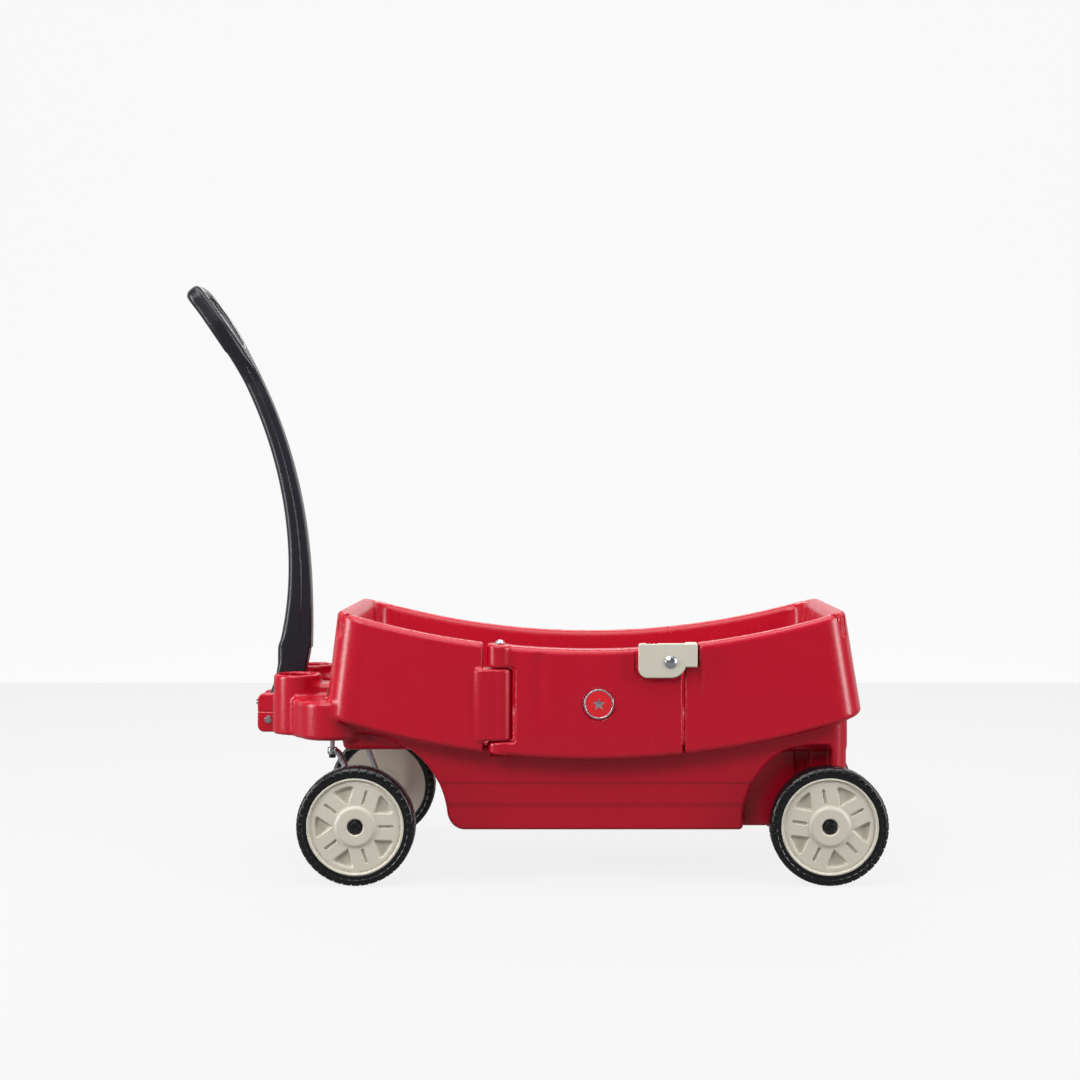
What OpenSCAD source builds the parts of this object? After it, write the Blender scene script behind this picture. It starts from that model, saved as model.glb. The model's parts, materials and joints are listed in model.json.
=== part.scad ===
// Children's pull wagon: a double-walled moulded body with two facing seats, a side door, a curved
// pull handle, two swivelling front casters and a fixed rear axle.
// Frame: +X to the rear, -Y to the door side, +Z up, origin on the ground under the middle.

/* [Body] */
// X of the middle of the body
body_mid = 114; // [110:1:118]
// Half the body's length at the rim
rim_half = 442; // [436:1:446]
// How far the front end flares out from the rim down to the skirt
front_flare = 20; // [10:1:24]
// How far the rear end flares out from the rim down to the skirt
rear_flare = 27; // [10:1:27]
// Half the body's width at its corners
corner_half_w = 217; // [214:1:218]
// How far each long side bows out at its middle
side_bow = 8; // [4:1:9]
// Radius of the corners seen from above
corner_r = 50; // [40:1:60]
// Height of the rim at the middle of the body
rim_low = 403; // [398:1:408]
// Height of the skirt's lower edge at the middle of the body
skirt_low = 214; // [210:1:216]
// Radius of the swept-up rim and skirt lines
bow_r = 1500; // [1450:10:1600]
// Thickness of the wall at the rim
wall = 24; // [20:1:26]

/* [Tub] */
// Height of the seats above the ground
seat_z = 236; // [232:1:240]
// Height of the underside of the tub
tub_z = 87; // [85:1:90]
// Half the width of the tub across its side pods
tub_half_w = 190; // [186:1:190]
// Half the width of the tub between the wheels
core_half_w = 150; // [140:1:152]
// Rear face of the tub
tub_rear = 559; // [555:1:562]
// Front face of the tub
tub_front = -320; // [-324:1:-310]
// Front end of the footwell
footwell_front = -8; // [-15:1:0]
// Rear end of the footwell
footwell_rear = 236; // [230:1:242]
// Thickness of the footwell's floor
floor_t = 13; // [10:1:16]

/* [Wheels] */
// Radius of the tyres
tyre_r = 101.5; // [101:0.5:102]
// Radius of the hubs
hub_r = 83.5; // [80:0.5:86]
// Distance from the middle plane to the outer face of a wheel
wheel_out = 240; // [238:1:242]
// Width of the tyres
tyre_w = 44; // [40:1:45]
// X of the front wheels
front_x = -290; // [-292:1:-288]
// X of the rear wheels
rear_x = 521; // [518:1:524]
// Radius of the axles
axle_r = 5; // [4.5:0.5:5.5]

/* [Casters] */
// X of the kingpins
king_x = -341; // [-343:1:-339]
// Distance of each kingpin from the middle plane
king_y = 145; // [143:1:147]
// Radius of the kingpins
king_r = 4; // [3.5:0.5:4.5]

/* [Door] */
// X of the door's left edge, beside its hinge knuckles
door_left = -69; // [-70:1:-68]
// X of the door's right edge, under the latch
door_right = 270; // [268:1:271]
// X of the hinge pin
hinge_x = -44; // [-45:1:-43]
// Distance of the hinge pin from the middle plane
hinge_y = 206; // [205:1:207]
// Radius of the hinge knuckles
knuckle_r = 22; // [20:1:22]
// Foot of the body's hinge knuckle
knuckle_z0 = 246; // [244:1:250]
// Top of the body's hinge knuckle
knuckle_z1 = 370; // [365:1:374]

/* [Latch] */
// X of the latch bolt
latch_x = 249; // [248:1:250]
// Height of the latch bolt
latch_z = 383; // [382:1:384]
// Thickness of the latch plate
latch_t = 9; // [8:0.5:10]

/* [Handle] */
// X of the handle's pivot
pivot_x = -472; // [-474:1:-470]
// Height of the handle's pivot
pivot_z = 260; // [258:1:262]
// Radius of the handle's long curve
handle_curve_r = 850; // [840:5:860]
// X of the handle where it stands upright
handle_x = -420; // [-422:1:-418]
// Height at which the handle stands upright
handle_z = 505; // [500:1:510]
// Height of the top of the grip
handle_top = 1051; // [1045:1:1055]
// Half the width of the stem from side to side
stem_half_w = 17; // [15:1:18]
// Half the width of the grip loop
grip_half_w = 54; // [50:1:56]

/* [Hidden] */
$fn = 72;
sweep_fn = 720;                 // sides of the big circles, so that they sag by under 0.02
fit = 0.05;                     // radial clearance of a pin in its bore
gap = 0.4;                      // clearance between bodies that pass each other
big = 700;                      // longer than the whole wagon is high or wide
tyre_in = wheel_out - tyre_w;   // inner face of a tyre
boss_in = 191.5;                // inner end of a wheel's boss
axle_z = tyre_r;
axle_end = 233;                 // outer end of the axles, inside the hub's recess
recess_r = 13.7;                // recess in the middle of a hub
cap_floor = 228;                // foot of the caps on the axle ends
bush_r = axle_r + 3;
skirt_end = 300;                // height at which the ends reach their full flare
rear_arch_r = 144;
front_arch_r = 154;
arch_top = 235;                 // flat top of the rear wheel arch
arch_rear = 532;                // upright rear end of the rear wheel arch
seat_t = 12;                    // thickness of the seats over the wheel wells
seat_half_w = 176;
slope_top_x = -249;             // front underside, sloped to clear the casters
slope_foot_x = -138;
pod_corner_r = 31;
seat_split_front = footwell_front - 12;
seat_split_rear = footwell_rear + 12;
wall_split_front = -282;        // where the end walls meet the side walls
wall_split_rear = 510;
wall_split_mid = 100;           // middle of the door's opening
socket_dx = 420;                // canopy pole sockets from the middle of the body
socket_y = 193;
socket_r = 5;
socket_depth = 110;
column_r = 18;
rim_corner = rim_low + pow(rim_half, 2) / (2 * bow_r);
knuckle_out = hinge_y + knuckle_r;
pin_r = 4;
pin_foot = 222;
clip_r = 8;                     // clip under the hinge pin, sunk into the door's lower knuckle
pin_top = 415;
door_inner = tub_half_w + 1;    // inner face of the door
door_edge = hinge_x + knuckle_r + 4;
knuckle_gap = 1.5;              // above and below the body's knuckle
latch_back = corner_half_w + side_bow + 1.3;
bolt_r = 4;
nose_left = latch_x + 26;
nose_right = latch_x + 46;
nose_foot = latch_z - 9;
latch_left = latch_x - 55;
latch_top = latch_z + 31.5;
latch_foot = latch_z - 27.5;
nose_back = 203;                // inner end of the latch's nose block
badge_x = 126.5;
badge_z = 310;
badge_r = 25.5;
deck_z0 = 243;                  // underside of the front deck
deck_z1 = 311;                  // top of the lobes over the casters
cup_z = 349;                    // rim of the cup holders
cup_x = -411;
cup_y = 88;
cup_r = 42;
cup_bore = 33;
cup_depth = 78;
lobe_r = 60;
deck_front = -454;
deck_back = -328;
channel_back = -386;            // rear end of the handle's channel between the cup holders
ear_in = 21;                    // inner faces of the pull bracket's two ears
ear_out = 38;
ear_front = -492;
ear_z0 = 237;
ear_z1 = 307;
bracket_back = -448;
king_top = 327;
king_foot = 209;
king_pocket_r = 14;             // hollow in the front wall round each kingpin
king_pocket_top = 345;
cap_z = 315;                    // foot of the ribbed caps on the kingpins
eye_z = 219;                    // middle of the eye that the kingpin passes through
spindle_in = 170;               // where the caster leg turns into the spindle
leg_r = 5.5;
bushing_r = king_r + 3.5;
bushing_len = 24;
screw_r = 3;
screw_y = 29.5;
screw_z = 292;
heel = [-409, 338];             // rear edge of the handle where it narrows to its foot
toe = [-462, 338];              // front edge there
foot_r = 18;                    // round foot of the handle
curve_x = handle_x - handle_curve_r;
grip_a = 39.1;                  // where the long curve ends, at the top of the grip
heel_a = -8;                    // where it starts, above the heel

// ---------------------------------------------------------------- outlines

// Points of an arc about [x, y], from angle a0 to a1
function arc(x, y, r, a0, a1, n = 8) =
    [for (i = [0:n]) let (a = a0 + (a1 - a0) * i / n) [x + r * cos(a), y + r * sin(a)]];

// One bowed long side, from its rear end to its front end, on the side given by s
function bowed_side(half_l, half_w, s, n = 10) =
    [for (i = [1:n - 1]) let (t = 1 - 2 * i / n) [s * half_l * t, s * (half_w + side_bow * (1 - t * t))]];

// Rounded rectangle with bowed long sides, centred on the body
function plan(half_l, half_w, r) = concat(
    arc(half_l - r, half_w - r, r, 0, 90), bowed_side(half_l - r, half_w, 1),
    arc(r - half_l, half_w - r, r, 90, 180),
    arc(r - half_l, r - half_w, r, 180, 270), bowed_side(half_l - r, half_w, -1),
    arc(half_l - r, r - half_w, r, 270, 360)
);

// Extrudes an outline drawn in X and Z to w either side of the middle plane
module along_y(w) {
    rotate([90, 0, 0]) linear_extrude(2 * w, center = true) children();
}

// Both of a pair that mirror each other across the middle plane
module both_sides() {
    children();
    mirror([0, 1, 0]) children();
}

// A solid on the near side, or its mirror image on the far side
module on_side(s) {
    if (s < 0) children();
    else mirror([0, 1, 0]) children();
}

// A cylinder along Y between y0 and y1
module rod_y(x, z, r, y0, y1) {
    translate([x, max(y0, y1), z]) rotate([90, 0, 0]) cylinder(r = r, h = abs(y1 - y0));
}

// A round rod from p to q with a slightly larger ball at q, where the next rod starts
module leg_piece(p, q, r) {
    d = q - p;
    l = norm(d);
    translate(p) rotate([0, acos(d.z / l), atan2(d.y, d.x)]) cylinder(r = r, h = l);
    translate(q) sphere(r = r + 0.3);
}

// The big circle, in X and Z, whose foot is the swept-up line that passes z at the middle
module sweep_circle(z) {
    translate([body_mid, z + bow_r]) circle(r = bow_r, $fn = sweep_fn);
}

// ---------------------------------------------------------------- body

// Side view of the upper body: swept rim and skirt lines between flared ends
module band_side() {
    slope_f = front_flare / (rim_corner - skirt_end);
    slope_r = rear_flare / (rim_corner - skirt_end);
    low = skirt_low - 14;
    high = rim_corner + 12;
    difference() {
        intersection() {
            polygon([
                [body_mid - rim_half - slope_f * (rim_corner - low), low],
                [body_mid + rim_half + slope_r * (rim_corner - low), low],
                [body_mid + rim_half - slope_r * (high - rim_corner), high],
                [body_mid - rim_half + slope_f * (high - rim_corner), high]
            ]);
            sweep_circle(skirt_low);
        }
        sweep_circle(rim_low);
    }
}

// The upper body with no hollow, door or knuckles
module band_blank() {
    intersection() {
        translate([body_mid, 0, 0]) linear_extrude(big)
            polygon(plan(rim_half + rear_flare, corner_half_w, corner_r));
        along_y(big / 2) band_side();
    }
}

// The hollow above the seats, narrower at the seats than at the rim
module cabin() {
    foot_l = rim_half - wall - 20;
    top_l = rim_half - wall;
    foot_w = 172;
    top_w = corner_half_w + side_bow - wall;
    top_z = rim_corner + 20;
    difference() {
        intersection() {
            translate([body_mid, 0, seat_z]) linear_extrude(big)
                polygon(plan(top_l, corner_half_w - wall, corner_r - 20));
            along_y(big / 2) translate([body_mid, 0])
                polygon([[-foot_l, seat_z], [foot_l, seat_z], [top_l, top_z], [-top_l, top_z]]);
            rotate([90, 0, 90]) translate([0, 0, body_mid]) linear_extrude(big * 2, center = true)
                polygon([[-foot_w, seat_z], [foot_w, seat_z], [top_w, top_z], [-top_w, top_z]]);
        }
        both_sides() for (s = [-1, 1])
            translate([body_mid + s * socket_dx, socket_y, 0]) cylinder(r = column_r, h = big);
    }
}

// The tub's outline from the ground up to z1, without its wheel arches
module tub_prism(z0, z1) {
    translate([tub_front, -tub_half_w, z0])
        cube([tub_rear - tub_front, 2 * tub_half_w, z1 - z0]);
}

// All four walls of the body, down to the seats
module walls() {
    difference() {
        union() {
            difference() {
                band_blank();
                cabin();
                tub_prism(0, seat_z);
                translate([door_left - 4, -big / 2, 0])
                    cube([door_right + 4 - door_left + 4, big / 2 - 150, big]);
            }
            // walls of the tub that rise to meet the skirt
            difference() {
                tub_prism(seat_z, skirt_end + 20);
                cabin();
                along_y(big / 2) sweep_circle(skirt_low);
            }
            // hinge knuckle with the web that joins it to the wall
            translate([hinge_x, -hinge_y, knuckle_z0])
                cylinder(r = knuckle_r, h = knuckle_z1 - knuckle_z0);
            translate([door_left - 10, -knuckle_out, knuckle_z0])
                cube([hinge_x - door_left + 10, 34, knuckle_z1 - knuckle_z0]);
        }
        translate([hinge_x, -hinge_y, 0]) cylinder(r = pin_r + fit, h = big);
        // notch for the latch's nose
        translate([door_right, -big / 2, nose_foot - gap])
            cube([nose_right + 4 - door_right, big / 2 - nose_back + 2, 100]);
        both_sides() for (s = [-1, 1])
            translate([body_mid + s * socket_dx, socket_y, rim_corner - 8 - socket_depth])
                cylinder(r = socket_r, h = big);
        both_sides() for (s = [-1, 1])
            translate([body_mid + s * socket_dx, socket_y, rim_corner - 8])
                cylinder(r = socket_r + 4, h = big);
        both_sides() translate([king_x, king_y, 0]) {
            cylinder(r = bushing_r + fit, h = deck_z1 + 10);
            translate([0, 0, deck_z1]) cylinder(r = king_pocket_r, h = king_pocket_top - deck_z1);
        }
    }
}

// The part of the walls in a box on the ground, from [x0, y0] to [x1, y1]
module wall_slice(x0, x1, y0, y1) {
    color("crimson") intersection() {
        walls();
        translate([x0, y0, 0]) cube([x1 - x0, y1 - y0, big]);
    }
}

module front_wall() {
    wall_slice(-big, wall_split_front, -big / 2, big / 2);
}

module rear_wall() {
    wall_slice(wall_split_rear, big, -big / 2, big / 2);
}

module far_wall() {
    wall_slice(wall_split_front, wall_split_rear, 0, big / 2);
}

module near_front_wall() {
    wall_slice(wall_split_front, wall_split_mid, -big / 2, 0);
}

module near_rear_wall() {
    wall_slice(wall_split_mid, wall_split_rear, -big / 2, 0);
}

// Side view of the core between the wheels, sloped at the front to clear the casters
module core_side() {
    polygon(concat(
        [[tub_front, seat_z], [tub_front, seat_z - seat_t], [slope_top_x, seat_z - seat_t], [slope_foot_x, 148]],
        arc(slope_foot_x + 40, tub_z + pod_corner_r, pod_corner_r, 180, 270),
        [[tub_rear, tub_z], [tub_rear, seat_z]]
    ));
}

// Side view of the side pods, cut by the wheel arches
module pod_side() {
    difference() {
        polygon(concat(
            [[tub_front, seat_z]],
            arc(slope_foot_x + 34, tub_z + pod_corner_r, pod_corner_r, 180, 270),
            [[tub_rear, tub_z], [tub_rear, seat_z]]
        ));
        translate([front_x, axle_z]) circle(r = front_arch_r);
        intersection() {
            translate([rear_x, axle_z]) circle(r = rear_arch_r);
            square([arch_rear, arch_top]);
        }
        translate([tub_front - 1, 0]) square([front_x - tub_front + 1, seat_z - 1]);
    }
}

// The whole lower body, with its footwell
module tub() {
    difference() {
        union() {
            along_y(core_half_w) core_side();
            along_y(tub_half_w) pod_side();
            translate([tub_front, -seat_half_w, seat_z - seat_t])
                cube([tub_rear - tub_front, 2 * seat_half_w, seat_t]);
        }
        translate([footwell_front, -160, tub_z + floor_t])
            cube([footwell_rear - footwell_front, 320, big]);
        rod_y(rear_x, axle_z, axle_r + fit, -big / 2, big / 2);
        // room for the door's lower knuckle
        translate([hinge_x, -hinge_y, skirt_low - 5])
            cylinder(r = knuckle_r + knuckle_gap, h = 60);
    }
}

// The part of the tub between two planes across it
module tub_slice(x0, x1) {
    color("crimson") intersection() {
        tub();
        translate([x0, -big / 2, 0]) cube([x1 - x0, big, big]);
    }
}

module footwell_tub() {
    tub_slice(seat_split_front, seat_split_rear);
}

module front_seat() {
    tub_slice(-big, seat_split_front);
}

module rear_seat() {
    tub_slice(seat_split_rear, big);
}

// ---------------------------------------------------------------- front deck and handle bracket

module front_deck() {
    slot = ear_in + 3;
    color("crimson") difference() {
        union() {
            translate([deck_front + 22, -cup_y, deck_z0])
                cube([deck_back - deck_front - 22, 2 * cup_y, deck_z1 - deck_z0]);
            both_sides() {
                translate([cup_x, cup_y, deck_z0]) cylinder(r = cup_r, h = cup_z - deck_z0);
                translate([king_x, king_y, deck_z0]) cylinder(r = lobe_r, h = deck_z1 - deck_z0);
                translate([cup_x, cup_y, deck_z0])
                    cube([deck_back - cup_x, king_y - cup_y + 20, deck_z1 - deck_z0]);
                translate([cup_x, cup_y - cup_r, deck_z0])
                    cube([deck_back - cup_x, 2 * cup_r - 8, cup_z - deck_z0]);
            }
            translate([deck_front, -cup_y, deck_z0])
                cube([40, 2 * cup_y, cup_z - deck_z0 - 30]);
        }
        band_blank();
        translate([deck_back - 2, -big / 2, 0]) cube([big, big, big]);
        // channel for the handle
        translate([-big, -slot, deck_z0 - 1]) cube([big + deck_front + 36, 2 * slot, big]);
        translate([-big, -slot, deck_z1 - 10]) cube([big + channel_back, 2 * slot, big]);
        bracket_screw_shafts(screw_r + fit);
        both_sides() {
            translate([cup_x, cup_y, cup_z - cup_depth]) cylinder(r = cup_bore, h = big);
            translate([king_x, king_y, 0]) cylinder(r = bushing_r + fit, h = big);
        }
    }
}

module pull_bracket() {
    ear_r = 12;
    color("crimson") difference() {
        both_sides() translate([0, ear_in, 0]) rotate([90, 0, 0]) mirror([0, 0, 1])
            linear_extrude(ear_out - ear_in) union() {
                translate([ear_front + ear_r, ear_z0]) square([bracket_back - ear_front - ear_r, ear_z1 - ear_z0]);
                translate([ear_front, ear_z0 + ear_r]) square([30, ear_z1 - ear_z0 - 2 * ear_r]);
                translate([ear_front + ear_r, ear_z0 + ear_r]) circle(r = ear_r);
                translate([ear_front + ear_r, ear_z1 - ear_r]) circle(r = ear_r);
            }
        rod_y(pivot_x, pivot_z, bolt_r + fit, -60, 60);
        bracket_screw_shafts(screw_r + fit);
        front_deck();
    }
}

module bracket_screw_shafts(r) {
    for (s = [-1, 1])
        translate([ear_front, s * screw_y, screw_z]) rotate([0, 90, 0]) cylinder(r = r, h = 62);
}

module bracket_screws() {
    color("silver") {
        bracket_screw_shafts(screw_r);
        for (s = [-1, 1]) translate([ear_front - 3, s * screw_y, screw_z])
            rotate([0, 90, 0]) cylinder(r1 = 4, r2 = 6, h = 3);
    }
}

// ---------------------------------------------------------------- rear axle and kingpin bushings

module kingpin_bushings() {
    flange = 2;
    color("whitesmoke") both_sides() translate([king_x, king_y, 0]) difference() {
        union() {
            translate([0, 0, deck_z0]) cylinder(r = bushing_r, h = bushing_len);
            translate([0, 0, deck_z0 - flange]) cylinder(r = bushing_r + 4, h = flange);
            translate([0, 0, deck_z1 - bushing_len]) cylinder(r = bushing_r, h = bushing_len);
            translate([0, 0, deck_z1]) cylinder(r = bushing_r + 4, h = flange);
        }
        cylinder(r = king_r + fit, h = big);
    }
}

module rear_axle() {
    color("silver") rod_y(rear_x, axle_z, axle_r, -axle_end, axle_end);
}

module rear_axle_spacers() {
    color("dimgray") both_sides() difference() {
        rod_y(rear_x, axle_z, axle_r + 4, core_half_w, boss_in - 0.5);
        rod_y(rear_x, axle_z, axle_r + fit, 0, big);
    }
}

// Push-on cap on the outer end of an axle, on the near side
module axle_cap(x) {
    color("black") difference() {
        union() {
            rod_y(x, axle_z, 11, -cap_floor, -236);
            rod_y(x, axle_z, 8, -236, -238);
        }
        rod_y(x, axle_z, axle_r, -cap_floor + 1, -axle_end);
    }
}

module rear_axle_caps() {
    both_sides() axle_cap(rear_x);
}

// ---------------------------------------------------------------- door

module hinge_pin() {
    color("silver") translate([hinge_x, -hinge_y, pin_foot]) cylinder(r = pin_r, h = pin_top - pin_foot);
}

module hinge_pin_cap() {
    dome_r = 8.5;
    foot = 413;
    color("silver") translate([hinge_x, -hinge_y, 0]) difference() {
        union() {
            translate([0, 0, foot]) cylinder(r = dome_r, h = 1.5);
            intersection() {
                translate([0, 0, foot + 1.5]) cylinder(r = dome_r, h = 10);
                translate([0, 0, foot - 4.5]) sphere(r = norm([dome_r, 6]));
            }
        }
        cylinder(r = pin_r, h = pin_top);
    }
}

module hinge_pin_clip() {
    color("dimgray") translate([hinge_x, -hinge_y, pin_foot + 1]) difference() {
        cylinder(r = clip_r, h = 3);
        translate([0, 0, -1]) cylinder(r = pin_r, h = 5);
    }
}

module side_door() {
    color("crimson") difference() {
        union() {
            intersection() {
                band_blank();
                translate([hinge_x, -big / 2, 0]) cube([door_right - hinge_x, big / 2 - door_inner, big]);
            }
            intersection() {
                translate([hinge_x, -hinge_y, 0]) cylinder(r = knuckle_r, h = big);
                along_y(big / 2) band_side();
            }
        }
        // room for the body's knuckle
        translate([door_left - 10, -big / 2, knuckle_z0 - knuckle_gap])
            cube([door_edge - door_left + 10, big / 2, knuckle_z1 - knuckle_z0 + 2 * knuckle_gap]);
        translate([hinge_x, -hinge_y, 0]) cylinder(r = pin_r + fit, h = big);
        translate([hinge_x, -hinge_y, 0]) cylinder(r = clip_r + gap, h = pin_foot + 4 + gap);
        // room for the latch's nose as it lifts
        translate([latch_x + 5, -big / 2, latch_z + 9])
            cube([100, big / 2 - nose_back + 2, 100]);
        rod_y(latch_x, latch_z, bolt_r + fit, -big / 2, 0);
    }
}

module door_badge() {
    face = corner_half_w + side_bow;
    color("firebrick") difference() {
        rod_y(badge_x, badge_z, badge_r, -face, -face - 2.5);
        rod_y(badge_x, badge_z, badge_r - 3, -face - 1.5, -face - 3);
    }
}

// Side view of the latch: a plate with a nose that lies in the body's notch
module latch_side() {
    corner = 16;
    lobe = latch_z - latch_foot;
    polygon(concat(
        arc(nose_right - 2, latch_top - 2, 2, 0, 90, 3),
        arc(latch_left + 4, latch_top - 4, 4, 90, 180, 3),
        arc(latch_left + corner, latch_foot + corner, corner, 180, 270),
        arc(latch_x, latch_z, lobe, 270, 360 - asin((latch_z - nose_foot) / lobe)),
        [[nose_right, nose_foot]]
    ));
}

module latch() {
    color("ivory") difference() {
        union() {
            translate([0, -latch_back, 0]) rotate([90, 0, 0]) linear_extrude(latch_t) latch_side();
            translate([nose_left, -latch_back - 1, nose_foot])
                cube([nose_right - nose_left, latch_back + 1 - nose_back, latch_top - nose_foot]);
        }
        rod_y(latch_x, latch_z, bolt_r + fit, -big / 2, 0);
    }
}

module latch_bolt() {
    head_r = 10.8;
    head_h = 4.4;
    ball = (pow(head_r, 2) + pow(head_h, 2)) / (2 * head_h);
    face = latch_back + latch_t + 0.2;
    color("silver") {
        rod_y(latch_x, latch_z, bolt_r, -face, -door_inner + 12);
        intersection() {
            translate([latch_x, -face - head_h + ball, latch_z]) sphere(r = ball);
            rod_y(latch_x, latch_z, big / 2, -face, -face - head_h - 1);
        }
    }
}

module latch_washer() {
    color("whitesmoke") difference() {
        rod_y(latch_x, latch_z, 9, -latch_back + 0.2, -latch_back + 1.9);
        rod_y(latch_x, latch_z, bolt_r, -big / 2, 0);
    }
}

module latch_nut() {
    color("silver") difference() {
        translate([latch_x, -door_inner + 7, latch_z]) rotate([90, 0, 0]) cylinder(r = 7.5, h = 7, $fn = 6);
        rod_y(latch_x, latch_z, bolt_r, -big / 2, 0);
    }
}

// ---------------------------------------------------------------- pull handle

// Half the handle's thickness at angle a up its long curve
function handle_half(a) = 15.3 + 6.2 * exp(-a / 9);

// A point at angle a up the long curve, off the middle line by d
function on_curve(a, d) = [curve_x + (handle_curve_r + d) * cos(a), handle_z + (handle_curve_r + d) * sin(a)];

// Side view of the handle, from its round foot up to its grip
module handle_side() {
    steps = 24;
    angles = [for (i = [0:steps]) heel_a + (grip_a - heel_a) * i / steps];
    polygon(concat(
        [[pivot_x + foot_r, pivot_z], heel],
        [for (a = angles) on_curve(a, handle_half(a))],
        [for (i = [0:steps]) let (a = angles[steps - i]) on_curve(a, -handle_half(a))],
        [toe, [pivot_x - foot_r, pivot_z]]
    ));
    translate([pivot_x, pivot_z]) circle(r = foot_r);
}

// Front view of the handle: a stem that opens into a loop to grip
module handle_front() {
    round_r = 30;
    difference() {
        polygon(concat(
            [[stem_half_w, 200], [stem_half_w, 890], [grip_half_w - 4, 965]],
            arc(grip_half_w - round_r, handle_top - round_r, round_r, 0, 90),
            arc(round_r - grip_half_w, handle_top - round_r, round_r, 90, 180),
            [[4 - grip_half_w, 965], [-stem_half_w, 890], [-stem_half_w, 200]]
        ));
        polygon(concat(
            [[-9, 935], [9, 935], [31, 980]],
            arc(17, 1006, 16, 0, 90),
            arc(-17, 1006, 16, 90, 180),
            [[-31, 980]]
        ));
    }
}

module pull_handle() {
    color("black") difference() {
        intersection() {
            along_y(grip_half_w + 1) handle_side();
            rotate([90, 0, 90]) translate([0, 0, -big]) linear_extrude(2 * big) handle_front();
        }
        rod_y(pivot_x, pivot_z, bolt_r + fit, -60, 60);
    }
}

module handle_bolt() {
    color("silver") {
        rod_y(pivot_x, pivot_z, bolt_r, -ear_out, ear_out + 9);
        translate([pivot_x, -ear_out, pivot_z]) rotate([90, 0, 0]) cylinder(r = 6.9, h = 5, $fn = 6);
    }
}

module handle_nut() {
    color("silver") difference() {
        translate([pivot_x, ear_out + 6, pivot_z]) rotate([90, 0, 0]) cylinder(r = 7.5, h = 6, $fn = 6);
        rod_y(pivot_x, pivot_z, bolt_r, 0, big / 2);
    }
}

module handle_washers() {
    color("whitesmoke") both_sides() difference() {
        rod_y(pivot_x, pivot_z, 11, stem_half_w + 0.4, ear_in);
        rod_y(pivot_x, pivot_z, bolt_r, 0, big / 2);
    }
}

// ---------------------------------------------------------------- front casters, drawn on the near side

module caster_leg() {
    eye_r = 8.5;
    top = [king_x + 4, -king_y, eye_z];
    shoulder = [king_x + 11, -king_y - 1, eye_z - 2];
    knee = [king_x + 24, -king_y - 7, eye_z - 28];
    ankle = [front_x - 8, -king_y - 18, axle_z + 34];
    heel_end = [front_x, -spindle_in, axle_z];
    color("silver") difference() {
        union() {
            translate([king_x, -king_y, eye_z - 6]) cylinder(r = eye_r, h = 12);
            leg_piece(top, shoulder, leg_r);
            leg_piece(shoulder, knee, leg_r);
            leg_piece(knee, ankle, leg_r);
            leg_piece(ankle, heel_end, leg_r);
            rod_y(front_x, axle_z, axle_r, -spindle_in, -axle_end);
            rod_y(front_x, axle_z, axle_r + 4, 4 - boss_in, 0.5 - boss_in);
        }
        translate([king_x, -king_y, 0]) cylinder(r = king_r, h = big);
    }
}

module kingpin() {
    color("silver") translate([king_x, -king_y, king_foot]) cylinder(r = king_r, h = king_top - king_foot);
}

module kingpin_cap() {
    height = 16;
    ribs = 12;
    color("black") translate([king_x, -king_y, cap_z]) difference() {
        cylinder(r1 = 10.5, r2 = 8.5, h = height);
        translate([0, 0, -1]) cylinder(r = king_r, h = king_top - cap_z + 1);
        for (i = [0:ribs - 1]) rotate(i * 360 / ribs)
            translate([10.6, 0, 4]) cylinder(r = 1.2, h = height);
    }
}

module thrust_washer() {
    color("silver") translate([king_x, -king_y, deck_z1 + 2.4]) difference() {
        cylinder(r = 10, h = 1.4);
        translate([0, 0, -1]) cylinder(r = king_r, h = 4);
    }
}

module leg_plug() {
    color("black") translate([king_x, -king_y, eye_z - 12]) difference() {
        cylinder(r = 6, h = 6);
        translate([0, 0, king_foot - eye_z + 12]) cylinder(r = king_r, h = 10);
    }
}

// ---------------------------------------------------------------- wheels, drawn on the near side

// Turns a profile of [radius, distance from the middle plane] about an axle
module about_axle(x) {
    translate([x, 0, axle_z]) rotate([90, 0, 0]) rotate_extrude() children();
}

module tyre(x) {
    shoulder = 7;
    color("black") about_axle(x) polygon(concat(
        [[hub_r, tyre_in], [tyre_r - shoulder, tyre_in]],
        arc(tyre_r - shoulder, tyre_in + shoulder, shoulder, 300, 360, 4),
        arc(tyre_r - shoulder, wheel_out - shoulder, shoulder, 0, 60, 4),
        [[tyre_r - shoulder, wheel_out], [hub_r, wheel_out]]
    ));
}

// Moulded hub with five pockets and five slots, turned by spin degrees
module hub(x, spin) {
    face = 236;
    back = 199;
    pockets = 5;
    step = 360 / pockets;
    half_a = 15.4;
    color("ivory") difference() {
        about_axle(x) polygon([
            [bush_r, boss_in], [20, boss_in], [20, back], [hub_r, back], [hub_r, wheel_out - 1],
            [hub_r - 4, wheel_out - 1], [hub_r - 5, face], [34, face], [32, wheel_out - 1],
            [recess_r, wheel_out - 1], [recess_r, cap_floor - 2], [bush_r, cap_floor - 2]
        ]);
        translate([x, -face + 8, axle_z]) rotate([90, 0, 0]) for (i = [0:pockets - 1]) {
            rotate(spin + (i + 0.5) * step) linear_extrude(big)
                polygon([[40, 0], [68 * cos(half_a), 68 * sin(half_a)], [70, 0], [68 * cos(half_a), -68 * sin(half_a)]]);
            rotate(spin + i * step) translate([38, -2.5, 4]) cube([27, 5, big]);
        }
    }
}

// Nylon bush pressed into a hub
module bushing(x) {
    color("whitesmoke") about_axle(x) polygon([
        [axle_r + fit, boss_in - 0.2], [bush_r, boss_in - 0.2], [bush_r, cap_floor - 2],
        [bush_r + 3, cap_floor - 2], [bush_r + 3, cap_floor - 0.6], [axle_r + fit, cap_floor - 0.6]
    ]);
}

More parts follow.
